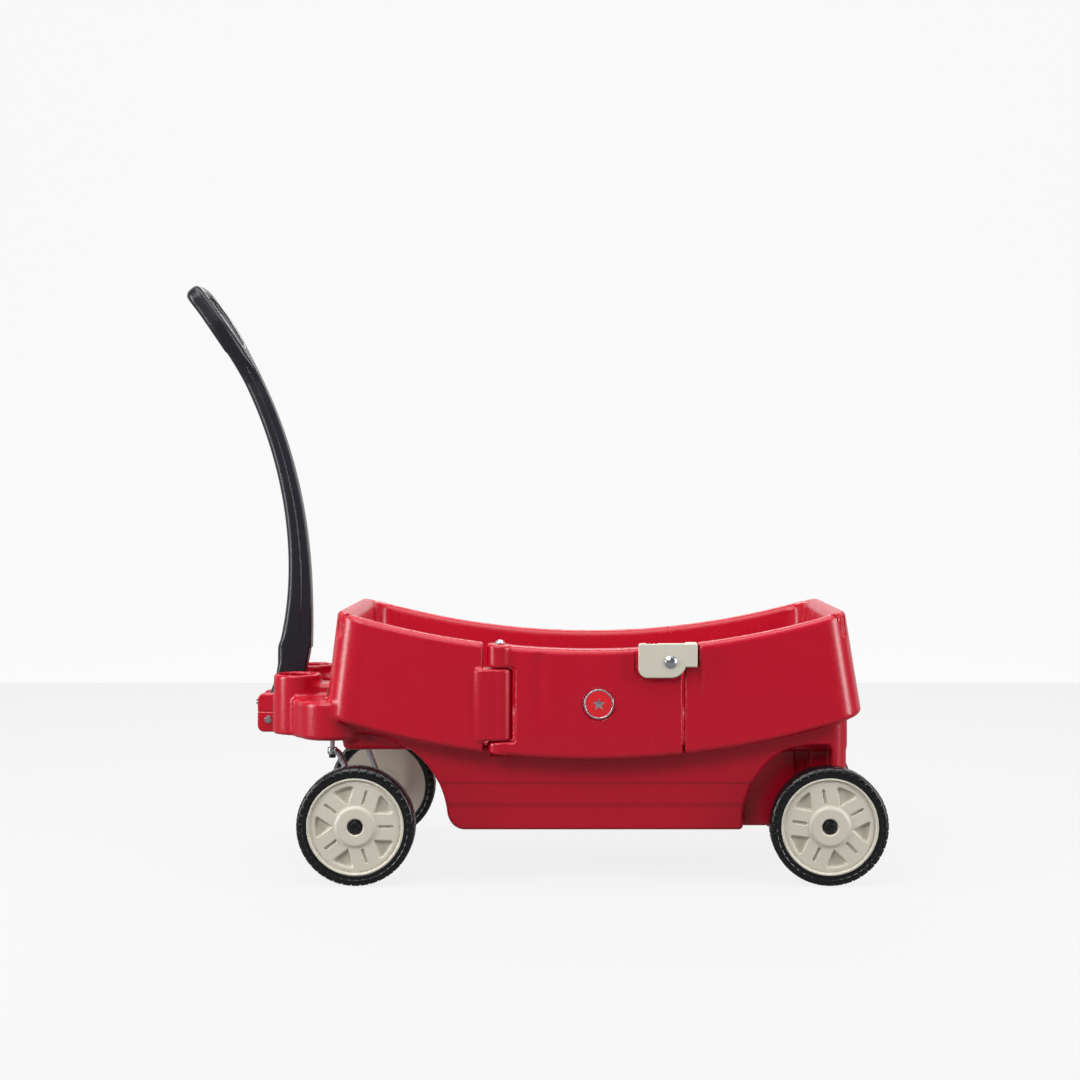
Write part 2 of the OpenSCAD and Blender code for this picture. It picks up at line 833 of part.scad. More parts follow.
front_wall();
rear_wall();
far_wall();
near_front_wall();
near_rear_wall();
footwell_tub();
front_seat();
rear_seat();
front_deck();
pull_bracket();
bracket_screws();
kingpin_bushings();
rear_axle();
rear_axle_spacers();
rear_axle_caps();
hinge_pin();
hinge_pin_cap();
hinge_pin_clip();
side_door();
door_badge();
latch();
latch_bolt();
latch_washer();
latch_nut();
pull_handle();
handle_bolt();
handle_nut();
handle_washers();
on_side(-1) caster_leg();  // caster_leg_near
on_side(1) caster_leg();  // caster_leg_far
on_side(-1) kingpin();  // kingpin_near
on_side(1) kingpin();  // kingpin_far
on_side(-1) kingpin_cap();  // kingpin_cap_near
on_side(1) kingpin_cap();  // kingpin_cap_far
on_side(-1) thrust_washer();  // thrust_washer_near
on_side(1) thrust_washer();  // thrust_washer_far
on_side(-1) leg_plug();  // leg_plug_near
on_side(1) leg_plug();  // leg_plug_far
on_side(-1) axle_cap(front_x);  // front_axle_cap_near
on_side(1) axle_cap(front_x);  // front_axle_cap_far
on_side(-1) tyre(front_x);  // tyre_front_near
on_side(1) tyre(front_x);  // tyre_front_far
on_side(-1) tyre(rear_x);  // tyre_rear_near
on_side(1) tyre(rear_x);  // tyre_rear_far
on_side(-1) hub(front_x, 0);  // hub_front_near
on_side(1) hub(front_x, 0);  // hub_front_far
on_side(-1) hub(rear_x, 28);  // hub_rear_near
on_side(1) hub(rear_x, 28);  // hub_rear_far
on_side(-1) bushing(front_x);  // bushing_front_near
on_side(1) bushing(front_x);  // bushing_front_far
on_side(-1) bushing(rear_x);  // bushing_rear_near
on_side(1) bushing(rear_x);  // bushing_rear_far
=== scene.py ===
"""Looks of a children's pull wagon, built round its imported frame.

The moulded pieces are drawn as distance fields with rounded joins, as a blow-moulded shell has,
and meshed by surface nets. Turned and bent pieces are lathed or swept. Fields work in millimetres.
"""
import json
import math

import bmesh
import bpy
import numpy as np
from mathutils import Matrix, Vector


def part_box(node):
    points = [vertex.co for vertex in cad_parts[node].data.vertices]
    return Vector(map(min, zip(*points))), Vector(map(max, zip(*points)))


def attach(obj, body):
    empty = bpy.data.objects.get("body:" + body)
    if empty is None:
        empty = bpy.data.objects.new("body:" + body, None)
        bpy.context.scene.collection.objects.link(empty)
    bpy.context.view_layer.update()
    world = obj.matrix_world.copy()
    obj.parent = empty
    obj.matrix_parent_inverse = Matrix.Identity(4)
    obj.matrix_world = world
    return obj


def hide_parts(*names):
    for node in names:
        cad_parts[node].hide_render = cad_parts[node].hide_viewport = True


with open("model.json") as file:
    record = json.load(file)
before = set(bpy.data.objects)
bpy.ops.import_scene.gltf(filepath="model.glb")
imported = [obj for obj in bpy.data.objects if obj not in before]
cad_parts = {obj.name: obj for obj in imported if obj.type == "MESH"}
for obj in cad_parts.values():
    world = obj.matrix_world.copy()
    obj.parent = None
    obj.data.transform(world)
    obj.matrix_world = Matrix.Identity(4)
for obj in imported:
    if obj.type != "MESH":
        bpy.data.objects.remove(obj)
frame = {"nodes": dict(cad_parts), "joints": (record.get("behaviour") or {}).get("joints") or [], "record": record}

bl_info = {
    "name": "Pull Wagon Parts",
    "version": (1, 0, 0),
    "blender": (4, 5, 0),
    "location": "View3D > Sidebar > Pull Wagon",
    "description": "Moulded body, door, latch, pull handle, casters and wheels of a pull wagon",
    "category": "Add Mesh",
}

MM = 0.001
TINY = 1e-6
MOST_TRIS = 190000      # triangles in the largest mouldings, which are thinned above this
JOINTS = {j["name"]: j for j in frame["joints"]}
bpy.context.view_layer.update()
SIDES = {"near": -1, "far": 1}


def box_mm(node):
    """Lowest and highest corner of a CAD node, in millimetres."""
    low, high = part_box(node)
    return [v / MM for v in low], [v / MM for v in high]


def pivot_mm(joint):
    """A point on a joint's axis, in millimetres."""
    return [v / MM for v in JOINTS[joint]["pos_m"]]


# ------------------------------------------------------------------ distance fields

def both(a, b, r=0.0):
    """Inside a and inside b, with an outer edge rounded to radius r."""
    if np.isscalar(r) and r == 0:
        return np.maximum(a, b)
    corner = np.sqrt(np.maximum(r + a, 0) ** 2 + np.maximum(r + b, 0) ** 2)
    return np.minimum(-r, np.maximum(a, b)) + corner


def join(a, b, r=0.0):
    """Inside a or inside b, with the inner corner filled to radius r."""
    return -both(-a, -b, r)


def cut(a, b, r=0.0):
    """Inside a and outside b, with the edge rounded to radius r."""
    return both(a, -b, r)


def slab(t, low, high, r=0.0):
    """Between two planes across one axis."""
    return both(low - t, t - high, r)


def rect(u, v, half_u, half_v, r):
    """Rounded rectangle centred on zero, in two dimensions."""
    du = np.abs(u) - half_u + r
    dv = np.abs(v) - half_v + r
    outside = np.sqrt(np.maximum(du, 0) ** 2 + np.maximum(dv, 0) ** 2)
    return outside + np.minimum(np.maximum(du, dv), 0) - r


def block(x, y, z, low, high, r=0.0):
    """Box between two corners, with all its edges rounded."""
    d = both(slab(x, low[0], high[0]), slab(y, low[1], high[1]), r)
    return both(d, slab(z, low[2], high[2]), r)


def disc(u, v, cu, cv, r):
    """Circle in two dimensions, or an endless cylinder across them."""
    return np.sqrt((u - cu) ** 2 + (v - cv) ** 2) - r


def strip(u, v, p, q, rp, rq):
    """Straight bar from p to q in two dimensions, whose half width runs from rp to rq."""
    du, dv = q[0] - p[0], q[1] - p[1]
    t = np.clip(((u - p[0]) * du + (v - p[1]) * dv) / (du * du + dv * dv), 0, 1)
    return np.sqrt((u - p[0] - t * du) ** 2 + (v - p[1] - t * dv) ** 2) - rp - t * (rq - rp)


def fade(t, low, high):
    """Smooth step from 0 at low to 1 at high."""
    s = np.clip((t - low) / (high - low), 0, 1)
    return s * s * (3 - 2 * s)


# ------------------------------------------------------------------ surface nets

def net_faces(inside, cell_id, axis):
    """Quads round each grid edge along one axis whose ends lie on different sides."""
    n = [s - 1 for s in inside.shape]
    others = [a for a in range(3) if a != axis]
    lower, upper = [slice(None)] * 3, [slice(None)] * 3
    lower[axis], upper[axis] = slice(0, n[axis]), slice(1, None)
    crosses = inside[tuple(lower)] != inside[tuple(upper)]
    inner = [slice(None)] * 3
    for a in others:
        inner[a] = slice(1, n[a])
    where = np.argwhere(crosses[tuple(inner)])
    for a in others:
        where[:, a] += 1
    corners = []
    for da, db in ((1, 1), (0, 1), (0, 0), (1, 0)):
        at = where.copy()
        at[:, others[0]] -= da
        at[:, others[1]] -= db
        corners.append(cell_id[at[:, 0], at[:, 1], at[:, 2]])
    quads = np.stack(corners, axis=1)
    flip = inside[where[:, 0], where[:, 1], where[:, 2]]
    if axis == 1:
        flip = ~flip
    quads[~flip] = quads[~flip][:, ::-1]
    return quads


def net_points(values, origin, step):
    """One point in each cell that the surface crosses, and the number of each such cell."""
    inside = values < 0
    cells = np.zeros([s - 1 for s in inside.shape], np.int8)
    corner_slices = [tuple(slice(d, None if d else -1) for d in (i, j, k))
                     for i in (0, 1) for j in (0, 1) for k in (0, 1)]
    for s in corner_slices:
        cells += inside[s]
    active = np.argwhere((cells > 0) & (cells < 8))
    total = np.zeros((len(active), 3))
    count = np.zeros(len(active))
    for axis in range(3):
        for d1 in (0, 1):
            for d2 in (0, 1):
                start = active.copy()
                a, b = [k for k in range(3) if k != axis]
                start[:, a] += d1
                start[:, b] += d2
                end = start.copy()
                end[:, axis] += 1
                va = values[tuple(start.T)].astype(float)
                vb = values[tuple(end.T)].astype(float)
                crossing = (va < 0) != (vb < 0)
                t = np.where(crossing, va / np.where(crossing, va - vb, 1), 0)
                point = start.astype(float)
                point[:, axis] += t
                total += point * crossing[:, None]
                count += crossing
    cell_id = np.full(cells.shape, -1, np.int64)
    cell_id[tuple(active.T)] = np.arange(len(active))
    return inside, cell_id, np.asarray(origin) + total / count[:, None] * step


def slope_of(field, points, h=0.05):
    """Value and unit normal of a field at points."""
    x, y, z = points.T
    grad = np.stack([
        field(x + h, y, z) - field(x - h, y, z),
        field(x, y + h, z) - field(x, y - h, z),
        field(x, y, z + h) - field(x, y, z - h),
    ], axis=1) / (2 * h)
    return field(x, y, z), grad


def settle(field, points, rounds=3, limit=1.5):
    """Moves points onto the surface along the field's slope."""
    for _ in range(rounds):
        value, grad = slope_of(field, points)
        move = -value[:, None] * grad / np.maximum((grad ** 2).sum(1), 0.2)[:, None]
        points = points + np.clip(move, -limit, limit)
    return points


def moulding(name, field, low, high, step, most_tris=150000):
    """Closed mesh of a distance field between two corners, with the field's own normals."""
    low = [v - 2 * step for v in low]
    axes = [np.arange(low[i], high[i] + 2 * step, step) for i in range(3)]
    grid = np.broadcast_to(
        field(axes[0][:, None, None], axes[1][None, :, None], axes[2][None, None, :]),
        [len(a) for a in axes],
    )
    inside, cell_id, points = net_points(grid, low, step)
    quads = np.concatenate([net_faces(inside, cell_id, axis) for axis in range(3)])
    points = settle(field, points)
    mesh = bpy.data.meshes.new(name)
    mesh.vertices.add(len(points))
    mesh.vertices.foreach_set("co", (points * MM).astype(np.float32).ravel())
    mesh.loops.add(quads.size)
    mesh.loops.foreach_set("vertex_index", quads.astype(np.int32).ravel())
    mesh.polygons.add(len(quads))
    mesh.polygons.foreach_set("loop_start", np.arange(0, quads.size, 4, dtype=np.int32))
    mesh.update(calc_edges=True)
    obj = bpy.data.objects.new(name, mesh)
    bpy.context.collection.objects.link(obj)
    if 2 * len(quads) > most_tris:
        thin = obj.modifiers.new("thin", "DECIMATE")
        thin.ratio = most_tris / (2 * len(quads))
        apply_modifiers(obj)
    shade_by_field(obj, field)
    return obj


def shade_by_field(obj, field):
    """Smooth shading with normals taken from the field."""
    mesh = obj.data
    co = np.empty(len(mesh.vertices) * 3, np.float32)
    mesh.vertices.foreach_get("co", co)
    points = settle(field, co.reshape(-1, 3).astype(float) / MM, rounds=1, limit=0.5)
    mesh.vertices.foreach_set("co", (points * MM).astype(np.float32).ravel())
    _, grad = slope_of(field, points, h=0.4)
    grad /= np.maximum(np.linalg.norm(grad, axis=1), 1e-6)[:, None]
    mesh.shade_smooth()
    mesh.normals_split_custom_set_from_vertices(grad)
    mesh.update()


# ------------------------------------------------------------------ other mesh helpers

def apply_modifiers(obj):
    """Bakes an object's modifiers into its mesh and removes them."""
    graph = bpy.context.evaluated_depsgraph_get()
    mesh = bpy.data.meshes.new_from_object(obj.evaluated_get(graph))
    obj.modifiers.clear()
    old = obj.data
    obj.data = mesh
    bpy.data.meshes.remove(old)
    mesh.name = obj.name


def from_bmesh(name, bm):
    """Object at the origin holding a bmesh, with faces outward and smooth shading by angle."""
    bmesh.ops.remove_doubles(bm, verts=bm.verts, dist=1e-6)
    bmesh.ops.recalc_face_normals(bm, faces=bm.faces)
    mesh = bpy.data.meshes.new(name)
    bm.to_mesh(mesh)
    bm.free()
    mesh.shade_smooth()
    mesh.set_sharp_from_angle(angle=math.radians(35))
    obj = bpy.data.objects.new(name, mesh)
    bpy.context.collection.objects.link(obj)
    return obj


def rounded(profile, radius, steps=4):
    """A profile of (r, h) points with its corners rounded, apart from those on the axis."""
    out = []
    for i, p in enumerate(profile):
        prev, post = profile[i - 1], profile[(i + 1) % len(profile)]
        a, b = Vector(prev) - Vector(p), Vector(post) - Vector(p)
        kept_sharp = p[0] < TINY or a.length < TINY or b.length < TINY
        if kept_sharp or abs(a.normalized().cross(b.normalized())) < 0.05:
            out.append(tuple(p))
            continue
        reach = min(radius, a.length * 0.45, b.length * 0.45)
        start, end = Vector(p) + a.normalized() * reach, Vector(p) + b.normalized() * reach
        for k in range(steps + 1):
            t = k / steps
            out.append(tuple(start.lerp(Vector(p), t).lerp(Vector(p).lerp(end, t), t)))
    return out


def lathe(bm, profile, place, around=64, ribs=0, rib_depth=0.0):
    """Turns a closed (r, h) profile in millimetres about Z, then puts it in place."""
    rings = []
    for k in range(around):
        a = 2 * math.pi * k / around
        dent = rib_depth * (0.5 - 0.5 * math.cos(ribs * a)) if ribs else 0.0
        ring = []
        for r, h in profile:
            r_here = max(r - dent, 0.0) if r > 6 else r
            co = Vector((r_here * math.cos(a), r_here * math.sin(a), h)) * MM
            ring.append(bm.verts.new(place @ co))
        rings.append(ring)
    n = len(profile)
    for k in range(around):
        ring, after = rings[k], rings[(k + 1) % around]
        for i in range(n):
            j = (i + 1) % n
            if profile[i][0] < TINY and profile[j][0] < TINY:
                continue
            bm.faces.new([ring[i], after[i], after[j], ring[j]])


def upright(x, y, z):
    """Place for a piece turned about Z, at a point in millimetres."""
    return Matrix.Translation(Vector((x, y, z)) * MM)


def outward(x, z, side, y=0.0):
    """Place for a piece turned about Y whose h points away from the middle plane on one side."""
    turn = Matrix.Rotation(math.radians(-90 * side), 4, "X")
    return Matrix.Translation(Vector((x, side * y, z)) * MM) @ turn


def finish_piece(obj, body, material, nodes=()):
    """Gives a piece its material, its body and the CAD nodes that it stands for."""
    if not obj.data.materials:
        obj.data.materials.append(material)
    for i in range(len(obj.data.materials)):
        obj.data.materials[i] = material
    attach(obj, body)
    if nodes:
        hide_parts(*nodes)
    return obj


# ------------------------------------------------------------------ sizes that a user may change

class WagonShape(bpy.types.PropertyGroup):
    """Roundings and drawn details that the frame doesn't hold."""
    bow_radius: bpy.props.FloatProperty(
        name="Bow radius", description="Radius of the swept-up rim and skirt lines",
        default=1.5, min=1.0, max=3.0, unit="LENGTH")
    rim_round: bpy.props.FloatProperty(
        name="Rim rounding", description="Rounding of the rim's outer and inner edges",
        default=0.011, min=0.002, max=0.011, unit="LENGTH")
    skirt_round: bpy.props.FloatProperty(
        name="Skirt rounding", description="Rounding of the skirt's lower edge",
        default=0.009, min=0.002, max=0.02, unit="LENGTH")
    panel_round: bpy.props.FloatProperty(
        name="Panel edge rounding", description="Rounding of the door's edges and of the opening round it",
        default=0.004, min=0.001, max=0.008, unit="LENGTH")
    mesh_step: bpy.props.FloatProperty(
        name="Mesh step", description="Size of a mesh cell on the body",
        default=0.0044, min=0.003, max=0.01, unit="LENGTH")
    tread_lugs: bpy.props.IntProperty(
        name="Tread lugs", description="Lugs in each of a tyre's two rows", default=40, min=20, max=60)
    lug_height: bpy.props.FloatProperty(
        name="Lug height", description="How far a tread lug stands out of the tyre",
        default=0.0011, min=0.001, max=0.003, unit="LENGTH")


class WagonColours(bpy.types.PropertyGroup):
    """Colours of the mouldings."""
    red: bpy.props.StringProperty(
        name="Body", description="sRGB hex colour of the red polyethylene", default="#b80a26")
    badge: bpy.props.StringProperty(
        name="Badge", description="sRGB hex colour of the badge", default="#d8232e")
    cream: bpy.props.StringProperty(
        name="Cream", description="sRGB hex colour of the hubs and the latch", default="#cfcabb")
    tyre: bpy.props.StringProperty(
        name="Tyre", description="sRGB hex colour of the tyres", default="#0d0d10")
    handle: bpy.props.StringProperty(
        name="Handle", description="sRGB hex colour of the handle", default="#1b1a22")


CORNER_W = 217.0        # half the body's width at its corners, at the skirt
SIDE_BOW = 8.0
RIM_HALF = 442.0
FLARE = (20.0, 27.0)    # how far the front and the rear end flare out, down to the skirt
SEAT_Z = 236.0
TUB_HALF_W = 190.0
CORE_HALF_W = 150.0
KNUCKLE_R = 22.0
HINGE_PIN_R = 5.0
CLIP_POCKET = (8.4, 226.4)      # radius and top of the counterbore for the hinge pin's clip
SOCKET_R = 5.0
SOCKET_DEPTH = 118.0            # from the rim's highest point to the floor of a pole socket
SOCKET_COLUMN_R = 18.0
KINGPIN_R = 7.5
KINGPIN_BORE_TOP = 321.0
CAP_POCKET = (14.0, 311.0, 345.0)    # radius, floor and top of the niche round a kingpin's cap
FRONT_ARCH_R = 154.0
REAR_ARCH = (144.0, 235.0, 11.0)     # radius, flat top, and reach behind the axle
LOBE_R = 60.0
CUP_R, CUP_BORE_R = 42.0, 33.0
BOLT_HOLE_R = 4.1


def shape():
    return bpy.context.scene.wagon_shape


class Body:
    """Distance fields of the moulded body and of the door that is cut from its side."""

    def __init__(self):
        s = shape()
        rim_top, skirt_low = box_mm("front_wall")[1][2], box_mm("far_wall")[0][2]
        self.bow_r = s.bow_radius / MM
        self.rim_round = s.rim_round / MM
        self.skirt_round = s.skirt_round / MM
        self.panel_round = s.panel_round / MM
        sockets = [m["pos_m"][0] / MM for m in frame["record"]["mounts"] if "socket" in m["name"]]
        self.mid = (min(sockets) + max(sockets)) / 2
        self.socket_dx = (max(sockets) - min(sockets)) / 2
        self.socket_y = max(m["pos_m"][1] / MM for m in frame["record"]["mounts"] if "socket" in m["name"])
        self.rim_top = rim_top
        self.rim_low = rim_top - self.bow_r + math.sqrt(self.bow_r ** 2 - RIM_HALF ** 2)
        self.skirt_low = skirt_low
        self.tub_x = (box_mm("front_seat")[0][0], box_mm("rear_seat")[1][0])
        self.tub_z = box_mm("footwell_tub")[0][2]
        self.hinge = pivot_mm("door_swing")
        self.latch = pivot_mm("latch_turn")
        self.door = box_mm("side_door")
        self.front_wheel = pivot_mm("wheel_spin_front_near")
        self.rear_wheel = pivot_mm("wheel_spin_rear_near")
        self.kingpin = pivot_mm("caster_turn_far")
        self.notch = box_mm("latch")

    def bow(self, x):
        u = (x - self.mid) / (RIM_HALF - 50)
        return SIDE_BOW * np.maximum(1 - u * u, 0)

    def below_rim(self, x, z):
        return self.bow_r - disc(x, z, self.mid, self.rim_low + self.bow_r, 0)

    def above_skirt(self, x, z):
        return disc(x, z, self.mid, self.skirt_low + self.bow_r, self.bow_r)

    def outer(self, x, y, z):
        """The upper body without its hollow: bowed sides, flared ends, swept rim and skirt."""
        flared = np.clip((self.rim_top - z) / (self.rim_top - 300), -0.1, 1.3)
        shift = (FLARE[1] - FLARE[0]) / 2 * flared
        half_l = RIM_HALF + (FLARE[0] + FLARE[1]) / 2 * flared
        plan = rect(x - self.mid - shift, np.abs(y) - self.bow(x), half_l, CORNER_W - 4 + 4 * flared, 52)
        plan = plan + self.dents(x, y, z)
        d = both(plan, self.below_rim(x, z), self.rim_round)
        return both(d, self.above_skirt(x, z), self.skirt_round)

    def dents(self, x, y, z):
        """Shallow moulded flutes on the near side and drip-shaped dents outside the corners."""
        near = fade(-y, 120, 190)
        wide = 2.6 * np.exp(-((x - self.hinge[0] - 70) / 9) ** 2) * fade(z, 268, 320) * fade(-z, -402, -384)
        rib = -1.8 * np.exp(-((x - self.door[1][0] - 33) / 4) ** 2) * fade(z, 318, 345) * fade(-z, -414, -398)
        u = np.abs(x - self.mid)
        drip = 3.0 * np.exp(-((u - 437) / (2.6 + 1.6 * fade(-z, -455, -425))) ** 4)
        drip = drip * fade(z, 421, 427) * fade(-z, -466, -456) * fade(np.abs(y), 150, 175)
        return near * (wide + rib) + drip

    def hollow(self, x, y, z):
        """The cabin over the seats, narrower at the seats, with the columns round the pole sockets."""
        up = np.clip((z - SEAT_Z) / (self.rim_top + 20 - SEAT_Z), 0, 1)
        plan = rect(x - self.mid, np.abs(y) - self.bow(x), 398 + 20 * up, 168 + 25 * up, 34)
        u = np.abs(x - self.mid) - 270
        dish = 7 * np.maximum(1 - (u / 110) ** 2, 0) * np.maximum(1 - (y / 150) ** 2, 0)
        d = both(plan, SEAT_Z - dish - z, 26)
        column = disc(np.abs(x - self.mid), np.abs(y), self.socket_dx, self.socket_y, SOCKET_COLUMN_R)
        return cut(d, column, 7)

    def half_width(self, z):
        """Half the width of the side pods, which steps in at two lines."""
        return TUB_HALF_W - 2.4 * fade(-z, -172, -166) - 2.4 * fade(-z, -134, -128)

    def arches(self, x, z):
        """Side views of the front and rear wheel arches."""
        rear_r, rear_top, reach = REAR_ARCH
        front = disc(x, z, self.front_wheel[0], self.front_wheel[2], FRONT_ARCH_R)
        rear = disc(x, z, self.rear_wheel[0], self.rear_wheel[2], rear_r)
        rear = both(both(rear, z - rear_top, 14), x - self.rear_wheel[0] - reach, 14)
        return front, rear

    def lower(self, x, y, z):
        """The tub under the skirt: a core between the wheels, side pods, seat floors and end walls."""
        front_arch, rear_arch = self.arches(x, z)
        side = np.abs(y)
        half = (self.tub_x[1] - self.tub_x[0]) / 2
        outline = rect(x - self.tub_x[0] - half, side, half, self.half_width(z), 30)
        bottom = self.tub_z - z
        lid = np.minimum(z - SEAT_Z, -self.above_skirt(x, z) - 4)
        slope = ((x + 249) * -76 + (z - 224) * -111) / math.hypot(76, 111)
        core = both(both(bottom, -134 - x, 31), slope, 24)
        core = both(both(core, x - self.tub_x[1], 10), side - CORE_HALF_W, 8)
        core = np.maximum(core, z - SEAT_Z + 1)
        pod = cut(cut(bottom, front_arch, 31), rear_arch, 7)
        pod = both(both(pod, outline, 5), CORE_HALF_W - side)
        groove = block(x, side, z, (471, 0, 0), (497, 154, 226), 5)
        core = cut(core, both(groove, CORE_HALF_W - 9 - side), 3)
        floor = both(both(outline, SEAT_Z - 12 - z, 10), side - 176, 8)
        d = join(core, pod, 6)
        d = join(d, floor, 6)
        wall = both(both(outline, SEAT_Z - 12 - z), 170 - side)
        wall = cut(wall, np.minimum(front_arch, rear_arch), 4)
        d = np.minimum(d, wall)
        d = np.maximum(d, lid)
        return cut(d, self.hollow(x, y, z), 4)

    def opening(self, x, y, z):
        """The gap in the near side that the door fills."""
        low, high = self.door[0][0] - 7, self.door[1][0] + 4
        return both(slab(x, low, high), y + 150, 2)

    def knuckle(self, x, y, z):
        low, high = self.hinge[2] - 54, self.hinge[2] + 70
        barrel = disc(x, y, self.hinge[0], self.hinge[1], KNUCKLE_R)
        web = both(slab(x, self.hinge[0] - 44, self.hinge[0]), slab(y, self.hinge[1] - KNUCKLE_R, -190), 14)
        return both(join(barrel, web, 3), slab(z, low, high), 5)

    def deck(self, x, y, z):
        """Front deck: cup holders either side of the handle's channel, and lobes over the casters."""
        low, high = box_mm("front_deck")
        side = np.abs(y)
        king_x, king_y = self.kingpin[0], self.kingpin[1]
        cup_x, cup_y = king_x - 70, 88
        back = king_x + 30
        plan = both(both(slab(x, low[0], back), side - 104, 24), slab(x, low[0], back))
        lobe = join(disc(x, side, king_x, king_y, LOBE_R), both(slab(x, cup_x, back), side - 160, 20), 10)
        plan = join(plan, lobe, 14)
        base = both(plan, slab(z, low[2], low[2] + 68), 9)
        cup = both(disc(x, side, cup_x, cup_y, CUP_R), slab(z, low[2], high[2]), 5)
        web = both(slab(x, cup_x, back), slab(side, cup_y - 36, cup_y + 26), 16)
        web = both(web, slab(z, low[2], high[2] - 16), 9)
        d = join(join(base, cup, 9), web, 9)
        d = cut(d, both(disc(x, side, cup_x, cup_y, CUP_BORE_R), low[2] + 28 - z, 8), 3)
        d = cut(d, disc(x, side, king_x, king_y, KINGPIN_R))
        channel = join(both(x + 418, side - 24), both(both(x + 386, side - 24), low[2] + 58 - z))
        return cut(d, channel, 5)

    def field(self, x, y, z):
        """The whole moulded body without its door."""
        band = cut(self.outer(x, y, z), self.hollow(x, y, z), self.rim_round)
        band = cut(band, self.opening(x, y, z), self.panel_round)
        d = join(band, self.lower(x, y, z), 5)
        d = cut(d, block(x, y, z, (-8, -160, 100), (236, 160, 800), 28), 10)
        relief = both(disc(x, y, self.hinge[0], self.hinge[1], KNUCKLE_R + 2), self.skirt_low + 4 - z)
        relief = both(relief, z - self.hinge[2] + 54)
        d = cut(d, relief, 2)
        d = join(d, self.knuckle(x, y, z), 5)
        notch = both(both(self.notch[0][0] + 76 - x, x - self.notch[1][0] - 4), self.notch[0][2] + 18 - z, 2)
        d = cut(d, both(notch, y + 201), 2.5)
        d = cut(d, disc(x, y, self.hinge[0], self.hinge[1], HINGE_PIN_R))
        for s in (-1, 1):
            hole = disc(x, np.abs(y), self.mid + s * self.socket_dx, self.socket_y, SOCKET_R)
            d = cut(d, both(hole, self.rim_top - SOCKET_DEPTH - z), 2)
        d = join(d, self.deck(x, y, z), 8)
        king = disc(x, np.abs(y), self.kingpin[0], self.kingpin[1], 0)
        pocket_r, pocket_floor, pocket_top = CAP_POCKET
        d = cut(d, both(king - pocket_r, slab(z, pocket_floor, pocket_top)), 2)
        return cut(d, both(king - KINGPIN_R, z - KINGPIN_BORE_TOP))

    def door_field(self, x, y, z):
        """The door, with the barrel that turns on the hinge pin and the recess for the latch."""
        edge = self.panel_round
        low, high = self.door
        d = both(self.outer(x, y, z), y + TUB_HALF_W + 1, 5)
        d = both(d, x - high[0], edge)
        d = both(d, self.hinge[0] - x)
        barrel = disc(x, y, self.hinge[0], self.hinge[1], KNUCKLE_R)
        barrel = both(both(barrel, self.below_rim(x, z), 6), self.above_skirt(x, z), 5)
        d = join(d, barrel, 3)
        gap = both(x - self.hinge[0] - KNUCKLE_R - 4, slab(z, self.hinge[2] - 55.5, self.hinge[2] + 71.5), 3)
        d = cut(d, gap, 5)
        clip = both(disc(x, y, self.hinge[0], self.hinge[1], CLIP_POCKET[0]), z - CLIP_POCKET[1])
        d = cut(d, clip)
        lx, _, lz = self.latch
        profile = latch_profile(x, z, self.notch)
        d = cut(d, both(profile - 6, y + 221, 1), 2)
        d = cut(d, both(both(lx + 5 - x, lz + 9 - z), y + 201, 1), 1.5)
        badge = box_mm("door_badge")
        bx, bz = (badge[0][0] + badge[1][0]) / 2, (badge[0][2] + badge[1][2]) / 2
        ring = both(disc(x, z, bx, bz, 28), y + 223.4, 1)
        return cut(d, ring, 1.2)


def latch_profile(x, z, corners):
    """Side view of the latch: a plate with one big round corner and a nose to the right."""
    left, low = corners[0][0], corners[0][2]
    right, high = corners[1][0], corners[1][2]
    plate = both(both(left - x, low - z, 16), z - high, 4)
    plate = both(plate, x - left - 55)
    lobe = disc(x, z, left + 55, low + 27.5, 27.5)
    nose = both(slab(z, low + 18.5, high), slab(x, left + 50, right), 2)
    return np.minimum(np.minimum(plate, lobe), nose)


# ------------------------------------------------------------------ handle, bracket, latch and hub fields

HANDLE_R = 850.0
STEM_HALF_W = 17.0


def handle_field(x, y, z):
    """Handle that narrows up a long curve from its round foot and opens into a loop to grip."""
    pivot, top = pivot_mm("handle_fold"), box_mm("pull_handle")[1][2]
    cx, cz = pivot[0] - 798, pivot[2] + 245
    a = np.arctan2(z - cz, x - cx)
    off = disc(x, z, cx, cz, HANDLE_R)
    end_a = math.asin((top - 15.4 - cz) / HANDLE_R) + 15.4 / HANDLE_R
    to_end = (end_a - a) * HANDLE_R
    half = 15.3 + 6.2 * np.exp(-np.degrees(np.clip(a, -0.14, 1)) / 9)
    grip = 1.6 * fade(-to_end, -142, -132) * fade(-off, 0, 8)
    curve = both(both(np.abs(off) - half - grip, -to_end, 14.5), cz - 118 - z)
    ankle = (-435.5, 338)
    foot = join(strip(x, z, (-430.5, 385), ankle, 29.6, 25), strip(x, z, ankle, pivot[::2], 25, 18), 8)
    side = join(curve, foot, 0.6)
    rear = fade(off, half * 0.2 - 1.2, half * 0.2 + 1.2)
    flange = 2.4 * rear * fade(to_end, 158, 190) * fade(z, 392, 470)
    spread = 37.0 * fade(-to_end, -212, -78)
    outline = (np.abs(y) - STEM_HALF_W - spread + flange) / 1.12
    outline = both(outline, -to_end, 30)
    edge = 12 - 8.5 * fade(off, -2, 5) * fade(to_end, 150, 200)
    d = both(side, outline, edge)
    inner = (np.abs(y) - 7 - 26 * fade(-to_end, -150, -58)) / 1.1
    opening = both(inner, slab(to_end, 30, 138, 8), 14)
    d = cut(d, opening, 11)
    return cut(d, disc(x, z, pivot[0], pivot[2], BOLT_HOLE_R))


